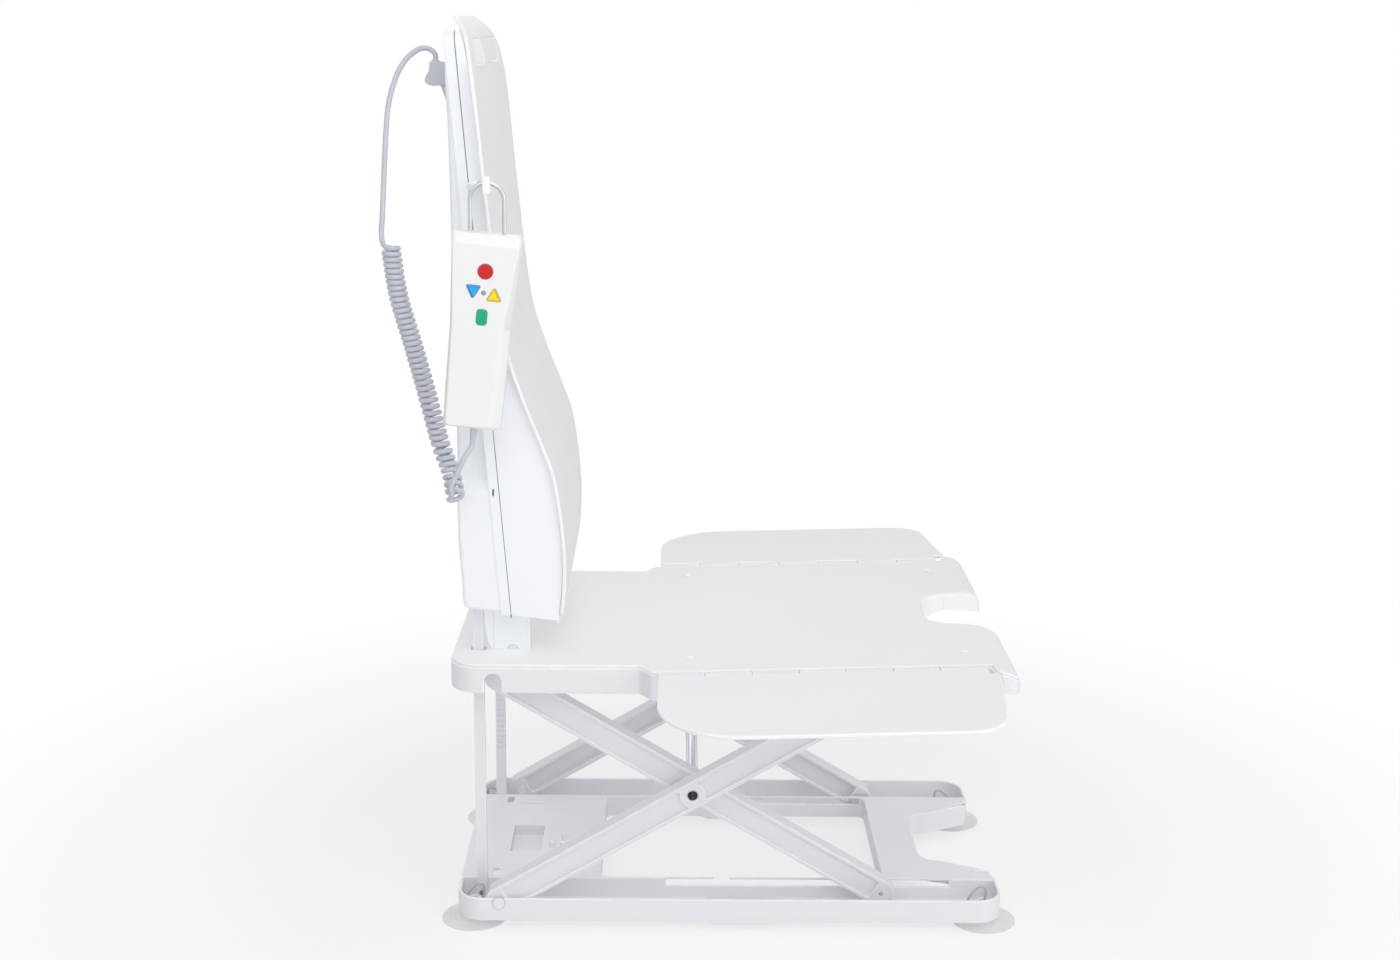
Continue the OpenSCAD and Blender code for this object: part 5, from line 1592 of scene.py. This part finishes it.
@dataclass
class HandControl(SubAssembly):
    """Hand control with its buttons, lamp and hanging wire."""

    place: Point = (-0.24, -0.2, 0.625043)
    lean: float = math.radians(5.5)
    half_h: float = 0.091
    half_top: float = 0.031
    half_low: float = 0.0255
    half_waist: float = 0.02625
    waist_z: float = 0.004
    reach_left: float = 0.003
    cap_out: float = 0.0014
    cap_in: float = 0.0025
    pocket: float = 0.006
    cut_over: float = 0.002
    shade_in: float = 0.0001
    shade_out: float = 0.0006
    shade_set: float = 0.0002
    bail_x: float = -0.2335
    bail_z: tuple[float, float] = (0.702543, 0.745043)
    bail_half: float = 0.0155
    bail_r: float = 0.002
    lamp_z: float = 0.0375
    crease: float = 32.0
    cap_crease: float = 24.0

    # Depth from the middle, insets of top, bottom, left, right and head, and radius of the corners
    FRONT = (
        (-0.00015, 0.0004, 0.0004, 0.0004, 0.0004, 0.0004, 0.0046),
        (-0.0008, 0.0, 0.0, 0.0, 0.0, 0.0, 0.005),
        (-0.0036, 0.0, 0.0, 0.0, 0.0, 0.0, 0.005),
        (-0.0048, 0.0001, 0.0001, 0.0001, 0.0007, 0.0001, 0.005),
        (-0.0096, 0.0005, 0.0012, 0.0014, 0.0068, 0.0009, 0.0046),
        (-0.0118, 0.0082, 0.0022, 0.0024, 0.0098, 0.0016, 0.0042),
        (-0.0127, 0.0098, 0.0030, 0.0034, 0.0114, 0.0024, 0.0038),
        (-0.013, 0.0108, 0.0040, 0.0044, 0.0126, 0.0032, 0.0034),
    )
    # Depth from the middle, inset on all sides, and radius of the corners
    REAR = (
        (0.00015, 0.0004, 0.0046), (0.0008, 0.0, 0.005), (0.006, 0.0, 0.005), (0.009, 0.0007, 0.005),
        (0.0112, 0.0022, 0.0048), (0.0124, 0.0042, 0.0044), (0.013, 0.0066, 0.004),
    )  # fmt: skip
    # How far each ring of a cap stands below its top, and how far in
    CAP = ((0.0007, 0.0), (0.0003, -0.0002), (0.0001, -0.0006), (0.0, -0.0011))
    # Radius and height of the lamp's lens over the face
    LAMP = (
        (0.0, -0.004), (0.0023, -0.004), (0.0023, 0.0002), (0.002, 0.0005), (0.0012, 0.00075), (0.0, 0.0008),
    )  # fmt: skip
    BUTTONS = (
        ("stop_button", ButtonShape.ROUND, (0.0, 0.057), Palette.RED),
        ("lower_button", ButtonShape.DOWN, (-0.0098, 0.038), Palette.BLUE),
        ("raise_button", ButtonShape.UP, (0.0098, 0.0365), Palette.YELLOW),
        ("power_button", ButtonShape.PILL, (0.0, 0.015), Palette.GREEN),
    )

    def build(self) -> None:
        """Makes both shells, the buttons with painted shade in the gaps round them, the lamp and the wire.
        """
        self.keep(self.front(), "seat", Palette.HANDSET_WHITE, "handset_front")
        self.keep(self.back(), "seat", Palette.HANDSET_WHITE, "handset_back")
        for name, shape, at, finish in self.BUTTONS:
            self.keep(self.button(name, shape, at), name, finish, name)
        # Painted shade: a dark sleeve in the gap round each button
        self.keep(self.button_gap_shade(), "seat", Palette.GAP_SHADE)
        self.keep(self.lamp(), "seat", Palette.LAMP_CLEAR, "signal_lamp")
        self.keep(self.bail(), "seat", Palette.WIRE_STEEL, "handset_bail")

    @property
    def face(self) -> float:
        """Depth of the front shell's face."""
        return self.FRONT[-1][0]

    def stand(self) -> Matrix:
        """Turns the hand control's own axes into the frame."""
        return Matrix.Translation(self.place) @ Matrix.Rotation(self.lean, 4, "Y")

    def outline(
        self, top: float, low: float, left: float, right: float, head: float, radius: float
    ) -> Outline:
        """Draws the case at one depth.

        Args:
            top: Inset of its top edge.
            low: Inset of its bottom edge.
            left: Inset of the left side at the bottom.
            right: Inset of the right side at the bottom.
            head: Inset of both sides at the top.
            radius: Radius of its corners.

        Returns:
            The outline, anticlockwise from the lower left corner.
        """
        h, wide, slim, waist = self.half_h, self.half_top - head, self.half_low, self.half_waist
        more, mid = self.reach_left, self.waist_z
        corners = [
            (-slim - more + left, -h + low), (slim - right, -h + low), (waist - (head + right) / 2, mid),
            (wide, h - top), (-wide - more, h - top), (-waist - more + (head + left) / 2, mid),
        ]  # fmt: skip
        return rounded_outline(corners, radius, 5)

    def case(self, depths: Sequence[tuple[float, Outline]]) -> MeshWork:
        """Skins the case through its outlines, in the hand control's own axes.

        Args:
            depths: Depth from the middle, and the outline there.

        Returns:
            The work.
        """
        return MeshWork().rings([[Vector((u, y, v)) for u, v in line] for y, line in depths]).outward()

    def front(self) -> Object:
        """Front shell: a face with wide bevelled flanks, and a pocket for each button."""
        cutter = MeshWork()
        clear, foot = self.face - self.cut_over, self.face + self.pocket
        for _, shape, (u0, v0), _ in self.BUTTONS:
            hole = [(u0 + u, v0 + v) for u, v in shape.outline(self.shade_out)]
            cutter.prism(hole, clear, foot, lambda u, v, d: (u, d, v))
        solid = self.case([(y, self.outline(*insets)) for y, *insets in self.FRONT])
        body, tool = solid.bare("handset_front_dressed"), cutter.bare("button_pockets")
        cut = body.modifiers.new("Pockets", "BOOLEAN")
        cut.operation, cut.object, cut.solver = "DIFFERENCE", tool, "EXACT"
        settle(body)
        bpy.data.objects.remove(tool)
        shell = MeshWork.from_object(body).turn(self.stand())
        return shell.to_object("handset_front_dressed", self.crease)

    def back(self) -> Object:
        """Rear shell, rounded where the hand closes round it."""
        shell = self.case([(y, self.outline(*[inset] * 5, r)) for y, inset, r in self.REAR])
        return shell.turn(self.stand()).to_object("handset_back_dressed", self.crease)

    def button(self, name: str, shape: ButtonShape, at: tuple[float, float]) -> Object:
        """One cap with a rounded brim and a slightly raised top.

        Args:
            name: The button's name.
            shape: Its outline.
            at: Its middle on the face.

        Returns:
            The cap.
        """
        steps = [(-self.cap_in, 0.0), *((self.cap_out - under, grow) for under, grow in self.CAP)]
        depths = []
        for out, grow in steps:
            line = [(at[0] + u, at[1] + v) for u, v in shape.outline(grow)]
            depths.append((self.face - out, line))
        return self.case(depths).turn(self.stand()).to_object(f"{name}_cap", self.cap_crease)

    def button_gap_shade(self) -> Object:
        """Painted shade: a dark sleeve in each button's pocket, just clear of the cap that slides in it."""
        rim, foot = self.face + self.shade_set, self.face + self.pocket
        work = MeshWork()
        section = ((rim, self.shade_out), (foot, self.shade_out), (foot, self.shade_in), (rim, self.shade_in))
        for _, shape, (u0, v0), _ in self.BUTTONS:
            rings = [
                [Vector((u0 + u, depth, v0 + v)) for u, v in shape.outline(grow)] for depth, grow in section
            ]
            work.rings(rings, loop=True)
        return work.outward().turn(self.stand()).to_object("button_gap_shade")

    def lamp(self) -> Object:
        """The small domed lamp between the arrows."""
        place = self.stand() @ lying((0.0, self.face, self.lamp_z))
        return MeshWork().lathe(self.LAMP, 32).turn(place).to_object("signal_lamp_domed")

    def bail(self) -> Object:
        """The bent wire that the hand control hangs from."""
        low, high = self.bail_z
        x, y, r = self.bail_x, self.place[1], self.bail_half
        leg = [low + (high - low) * k / 4 for k in range(4)]
        bend = [(x - r, z) for z in leg]
        for k in range(25):
            a = math.pi * (1 - k / 24)
            bend.append((x + r * math.cos(a), high + r * math.sin(a)))
        bend += [(x + r, z) for z in reversed(leg)]
        path = [Vector((at, y, z)) for at, z in bend]
        return MeshWork().sweep(path, self.bail_r, 20).to_object("handset_bail_wire")


@dataclass
class Cord(SubAssembly):
    """Curly cord from the hand control to the plug on the housing, and the pieces at its ends."""

    diameter: float = 0.005
    curl_d: float = 0.0185
    turns: float = 42 + 1 / 12
    per_turn: int = 14
    curl_start: float = -0.008
    first_dip: float = 0.0096
    dip_turn: float = 0.6
    open_low: float = 0.1
    curl_phase: float = math.radians(60)
    gland_low: Point = (-0.249872, -0.2, 0.522517)
    gland_lean: float = math.radians(5.5)
    plug_exit: Point = (-0.2885, -0.11, 0.866043)
    plug_place: Point = (-0.2765, -0.11, 0.853543)
    plug_voxel: float = 0.0004
    plug_rounds: int = 24
    plug_crease: float = 80.0
    relief_r: float = 0.0028
    relief_taper: float = 0.00014
    relief_pitch: float = 0.0022
    relief_rings: int = 5
    relief_crease: float = 60.0
    line: Object | None = field(default=None, init=False)

    # The cord's route in millimetres: distance in front of the rear pivots, Y, height above the seat
    LEAD = (
        (-62, -112, 588.5), (-75, -115, 582.5), (-84, -119, 571.5), (-90, -124, 557.5), (-94.5, -130, 539.5),
        (-96.5, -139, 513.5), (-97.5, -148, 483.5), (-98.2, -156, 455.5), (-98.6, -162.6, 436.5),
    )  # fmt: skip
    CURL = (
        (-91, -169, 411.5), (-84.5, -169.5, 364.5), (-72, -170, 318.5), (-60, -170.5, 272.5),
        (-48.5, -172, 226.5), (-38, -177.5, 197.5), (-31.5, -194, 175.5),
    )  # fmt: skip
    TAIL = ((-34.5, -207.5, 189.5), (-28.5, -207, 203.5), (-21.5, -203.5, 218.5))
    # The plug from the side: distance from the wall and height, in millimetres
    PLUG_BODY = (
        (-0.6, -10.0), (-0.6, 10.0), (-6, 11.5), (-17, 11.5), (-17.6, 3),
        (-21, -2.5), (-22, -6), (-20, -9.5), (-15, -11),
    )  # fmt: skip
    PLUG_FIN = ((-8, -9), (-0.6, -9), (-0.6, -26), (-2, -26))
    BODY_HALF = 6.3
    FIN_HALF = 2.8
    # Radius and height of lathed steps: the plug's collar, then foot, one ring and head of the bend relief
    COLLAR = ((0.0, -0.006), (0.0048, -0.006), (0.0036, 0.0005), (0.0, 0.0005))
    RELIEF_FOOT = ((0.0, 0.0), (0.0027, 0.0))
    RELIEF_RING = ((0.0001, 0.0003), (0.0001, 0.0014), (-0.0001, 0.0017), (-0.0001, 0.0021))
    RELIEF_HEAD = ((0.0035, 0.0112), (0.0035, 0.0135), (0.0, 0.0135))

    @staticmethod
    def routed(points: Sequence[Point]) -> list[Vector]:
        """Turns points of the route into metres of the frame."""
        return [Vector((PIVOT_X + x * MM, y * MM, SEAT_TOP + z * MM)) for x, y, z in points]

    def curl_axis(self, points: Sequence[Vector]) -> Callable[[float], Vector]:
        """Gives the curl's middle line by length along its points.

        Args:
            points: The points that it goes through.

        Returns:
            A function of length along the straight runs between them.
        """
        spans = [(b - a).length for a, b in zip(points, points[1:])]
        ends = [2 * points[0] - points[1], *points, 2 * points[-1] - points[-2]]

        def at(s: float) -> Vector:
            """The middle line's point at one length."""
            i = 0
            while i < len(spans) - 1 and s > spans[i]:
                s -= spans[i]
                i += 1
            return catmull(*ends[i : i + 4], s / spans[i])

        return at

    def route(self) -> list[Vector]:
        """All points of the cord, from the plug to the hand control."""
        curl = self.routed(self.CURL)
        axis = self.curl_axis(curl)
        length = sum((b - a).length for a, b in zip(curl, curl[1:]))
        radius = (self.curl_d - self.diameter) / 2
        steps = round(self.turns * self.per_turn)
        whole = 2 * math.pi * self.turns
        start = (axis(MM) - curl[0]).normalized()
        helix: list[Vector] = []
        for k in range(steps + 1):
            wound = whole * k / steps
            dip = self.first_dip * (1 - math.exp(-wound / self.dip_turn))
            part = (1 - self.open_low) * k / steps + self.open_low * (k / steps) ** 5
            s = self.curl_start + dip + (length - self.curl_start - self.first_dip) * part
            along = (axis(min(max(s, 0.0) + MM, length)) - axis(max(s - MM, 0.0))).normalized()
            a = along.cross(Vector((1, 0, 0))).normalized()
            b = along.cross(a)
            turn = whole - wound + self.curl_phase
            middle = axis(max(s, 0.0)) + min(s, 0.0) * start
            helix.append(middle + radius * (a * math.cos(turn) + b * math.sin(turn)))
        top = Vector(self.plug_exit)
        lead = [top, top + Vector((0, 0, self.diameter)), *self.routed(self.LEAD)]
        away = (helix[-1] - helix[-2]).normalized()
        out = helix[-1] + self.diameter * away
        up = Vector((math.sin(self.gland_lean), 0.0, math.cos(self.gland_lean)))
        low = Vector(self.gland_low)
        tail = [out, out + self.diameter * away, *self.routed(self.TAIL)]
        return [*lead, *helix, *tail, low - self.diameter * up, low - MM * up, low]

    def build(self) -> None:
        """Makes the cord, its plug and its bend relief."""
        points = list(reversed(self.route()))
        data = bpy.data.curves.new("curly_cord", "CURVE")
        data.dimensions, data.use_fill_caps = "3D", True
        data.bevel_depth, data.bevel_resolution, data.resolution_u = self.diameter / 2, 4, 5
        spline = data.splines.new("BEZIER")
        spline.bezier_points.add(len(points) - 1)
        for knot, point in zip(spline.bezier_points, points):
            knot.co = point
            knot.handle_left_type = knot.handle_right_type = "AUTO"
        self.line = placed("curly_cord", data)
        self.keep(self.line, "seat", Palette.CORD_GREY, "cord_lead", "cord_curl", "cord_tail")
        self.keep(self.plug(), "seat", Palette.CORD_GREY, "cord_plug")
        self.keep(self.bend_relief(), "seat", Palette.CORD_GREY, "cord_gland")

    def by_plug(self, out: float, up: float, aside: float) -> Point:
        """Turns millimetres from the plug's middle at the wall into a point of the frame."""
        x, y, z = self.plug_place
        return (x + out * MM, y + aside * MM, z + up * MM)

    def plug(self) -> Object:
        """The elbow plug, its parts blended as one moulding."""
        work = MeshWork().lathe(self.COLLAR, 32).turn(Matrix.Translation(self.plug_exit))
        for side, half in ((self.PLUG_BODY, self.BODY_HALF), (self.PLUG_FIN, self.FIN_HALF)):
            work.prism(side, -half, half, self.by_plug)
        obj = work.to_object("cord_plug_dressed")
        blend = obj.modifiers.new("One moulding", "REMESH")
        blend.mode, blend.voxel_size = "VOXEL", self.plug_voxel
        soft = obj.modifiers.new("Soft edges", "SMOOTH")
        soft.factor, soft.iterations = 0.5, self.plug_rounds
        return MeshWork.from_object(settle(obj)).to_object("cord_plug_dressed", self.plug_crease)

    def bend_relief(self) -> Object:
        """The tapered, ringed sleeve where the cord enters the hand control."""
        profile = list(self.RELIEF_FOOT)
        for k in range(self.relief_rings):
            r, z = self.relief_r + self.relief_taper * k, self.relief_pitch * k
            profile += [(r + out, z + up) for out, up in self.RELIEF_RING]
        profile += self.RELIEF_HEAD
        place = Matrix.Translation(self.gland_low) @ Matrix.Rotation(self.gland_lean, 4, "Y")
        return MeshWork().lathe(profile, 32).turn(place).to_object("bend_relief", self.relief_crease)

    def dress(self) -> None:
        super().dress()


@dataclass(frozen=True)
class PhotoCamera:
    """The photograph's viewpoint."""

    place: Point = (-0.0646, -1.9370, 0.9124)
    yaw: float = math.radians(0.90)
    pitch: float = math.radians(13.79)
    roll: float = math.radians(0.74)
    focal_px: float = 1904.6
    image_w: float = 1400.0
    sensor: float = 36.0
    clip: tuple[float, float] = (0.05, 50.0)

    def build(self) -> None:
        """Makes the camera and gives it to the scene."""
        level = Vector((math.sin(self.yaw), math.cos(self.yaw), 0.0)) * math.cos(self.pitch)
        ahead = level - Vector((0.0, 0.0, math.sin(self.pitch)))
        right = Vector((math.cos(self.yaw), -math.sin(self.yaw), 0.0))
        up = right.cross(ahead)
        c, s = math.cos(self.roll), math.sin(self.roll)
        across, upright = c * right + s * up, c * up - s * right
        data = bpy.data.cameras.new("photo_camera")
        data.sensor_fit, data.sensor_width = "HORIZONTAL", self.sensor
        data.lens = self.focal_px * self.sensor / self.image_w
        data.clip_start, data.clip_end = self.clip
        obj = placed("photo_camera", data)
        rows = [[across[i], upright[i], -ahead[i], self.place[i]] for i in range(3)]
        obj.matrix_world = Matrix([*rows, [0.0, 0.0, 0.0, 1.0]])
        bpy.context.scene.camera = obj


@dataclass(frozen=True)
class Studio:
    """Plain white floor, white surroundings and soft lamps."""

    floor_r: float = 6.0
    sky: float = 0.54
    paper: float = 0.93
    paper_glow: float = 0.5
    fade: tuple[float, float] = (0.45, 1.0)

    WHITE = (1.0, 1.0, 1.0, 1.0)
    SKY = (0.97, 0.98, 1.0, 1.0)
    # Name, place, height that it faces over the middle, side, power in watts, and whether pieces shade it
    LAMPS = (
        ("key_lamp", (-0.65, -2.15, 1.95), 0.35, 2.2, 7.0, True),
        ("fill_lamp", (1.8, -1.7, 0.9), 0.3, 1.6, 12.0, True),
        ("wash_lamp", (0.3, -2.0, 2.4), 0.2, 2.0, 25.0, False),
        ("back_lamp", (-0.5, 2.2, 1.9), 0.2, 2.0, 10.0, False),
    )

    def build(self) -> None:
        """Makes the floor, the world and the lamps; two lamps wash into the hollows without shadows."""
        bpy.context.scene.view_settings.view_transform = "Standard"
        self.floor()
        self.world()
        for lamp in self.LAMPS:
            self.lamp(*lamp)

    def floor(self) -> None:
        """The floor: white paper that takes the part's soft shadow and fades into the surroundings."""
        radii = (self.floor_r, self.floor_r / 2, MM)
        rings = [[Vector((x, y, 0.0)) for x, y in circle(r, 64)] for r in radii]
        obj = MeshWork().rings(rings, caps=False).to_object("studio_floor")
        paper = bpy.data.materials.new("studio_paper")
        paper.use_nodes = True
        w = Wiring(paper.node_tree)
        shader = paper.node_tree.nodes["Principled BSDF"]
        colour = (self.paper, self.paper, self.paper, 1.0)
        w.feed(shader, {"Base Color": colour, "Roughness": 0.9, "Specular IOR Level": 0.0})
        glow = w.add("ShaderNodeEmission", {"Color": self.WHITE, "Strength": 1.0})
        where = w.add("ShaderNodeTexCoord")
        far = w.add("ShaderNodeVectorMath", {0: (where, "Object")}, operation="LENGTH")
        near, away = self.fade
        span = {"From Min": near, "From Max": away, "To Min": self.paper_glow, "To Max": 1.0}
        fade = w.add("ShaderNodeMapRange", {"Value": (far, "Value"), **span})
        shown = w.maths("MULTIPLY", (fade, "Result"), self.seen(w))
        mix = w.add("ShaderNodeMixShader", {0: shown, 1: (shader, "BSDF"), 2: (glow, "Emission")})
        w.feed(paper.node_tree.nodes["Material Output"], {"Surface": (mix, "Shader")})
        obj.data.materials.append(paper)

    @staticmethod
    def seen(w: Wiring) -> Feed:
        """Tells seen and mirrored rays, and rays through clear pieces, from those that only light.

        Args:
            w: Wiring of the floor's material or of the world.

        Returns:
            An output that is 1 for such rays.
        """
        rays = w.add("ShaderNodeLightPath")
        first = w.maths("MAXIMUM", (rays, "Is Camera Ray"), (rays, "Is Transmission Ray"))
        return w.maths("MAXIMUM", first, (rays, "Is Glossy Ray"))

    def world(self) -> None:
        """White surroundings: plain white where seen or reflected, softer as a light."""
        made = bpy.data.worlds.new("studio_world")
        bpy.context.scene.world = made
        made.use_nodes = True
        w = Wiring(made.node_tree)
        ground = made.node_tree.nodes["Background"]
        w.feed(ground, {"Color": self.SKY, "Strength": self.sky})
        white = w.add("ShaderNodeBackground", {"Color": self.WHITE, "Strength": 1.0})
        both = {1: (ground, "Background"), 2: (white, "Background")}
        mix = w.add("ShaderNodeMixShader", {0: self.seen(w), **both})
        w.feed(made.node_tree.nodes["World Output"], {"Surface": (mix, "Shader")})

    @staticmethod
    def lamp(name: str, at: Point, aim: float, size: float, power: float, shadow: bool) -> None:
        """Makes one soft square lamp.

        Args:
            name: Its name.
            at: Where it stands.
            aim: Height of the point over the middle that it faces.
            size: Its side.
            power: Its power in watts.
            shadow: Whether pieces shade it; without, it washes into the hollows as a bright room does.
        """
        data = bpy.data.lights.new(name, "AREA")
        data.shape, data.size, data.energy, data.use_shadow = "SQUARE", size, power, shadow
        way = Vector((0.0, 0.0, aim)) - Vector(at)
        turned = way.to_track_quat("-Z", "Y").to_matrix().to_4x4()
        placed(name, data).matrix_world = Matrix.Translation(at) @ turned


def dress_carried_nodes(frame: dict) -> None:
    """Gives every CAD node that still shows the finish of its slot.

    Args:
        frame: What the loaded frame holds.
    """
    slots = {row["node"]: row["material_slot"] for row in frame["record"]["subparts"]}
    for name, node in frame["nodes"].items():
        if node.hide_render:
            continue
        finish = Palette.SHOE_NYLON_AND_RING_SHADE if "_shoe_" in name else Palette.of_slot(slots[name])
        node.data.materials.clear()
        node.data.materials.append(finish.value.material())
        LOG.info("%s keeps its CAD shape", name)


def main() -> None:
    """Loads the frame, builds the studio and dresses every sub-assembly."""
    logging.basicConfig(level=logging.INFO, format="%(message)s")
    for leftover in list(bpy.data.objects):
        bpy.data.objects.remove(leftover)
    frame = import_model()
    PhotoCamera().build()
    Studio().build()
    for part in (Cord(), Tray(), Racks(), Scissor(), Seat(), Backrest(), HandControl()):
        part.build()
        part.dress()
    dress_carried_nodes(frame)


if __name__ == "__main__":
    main()
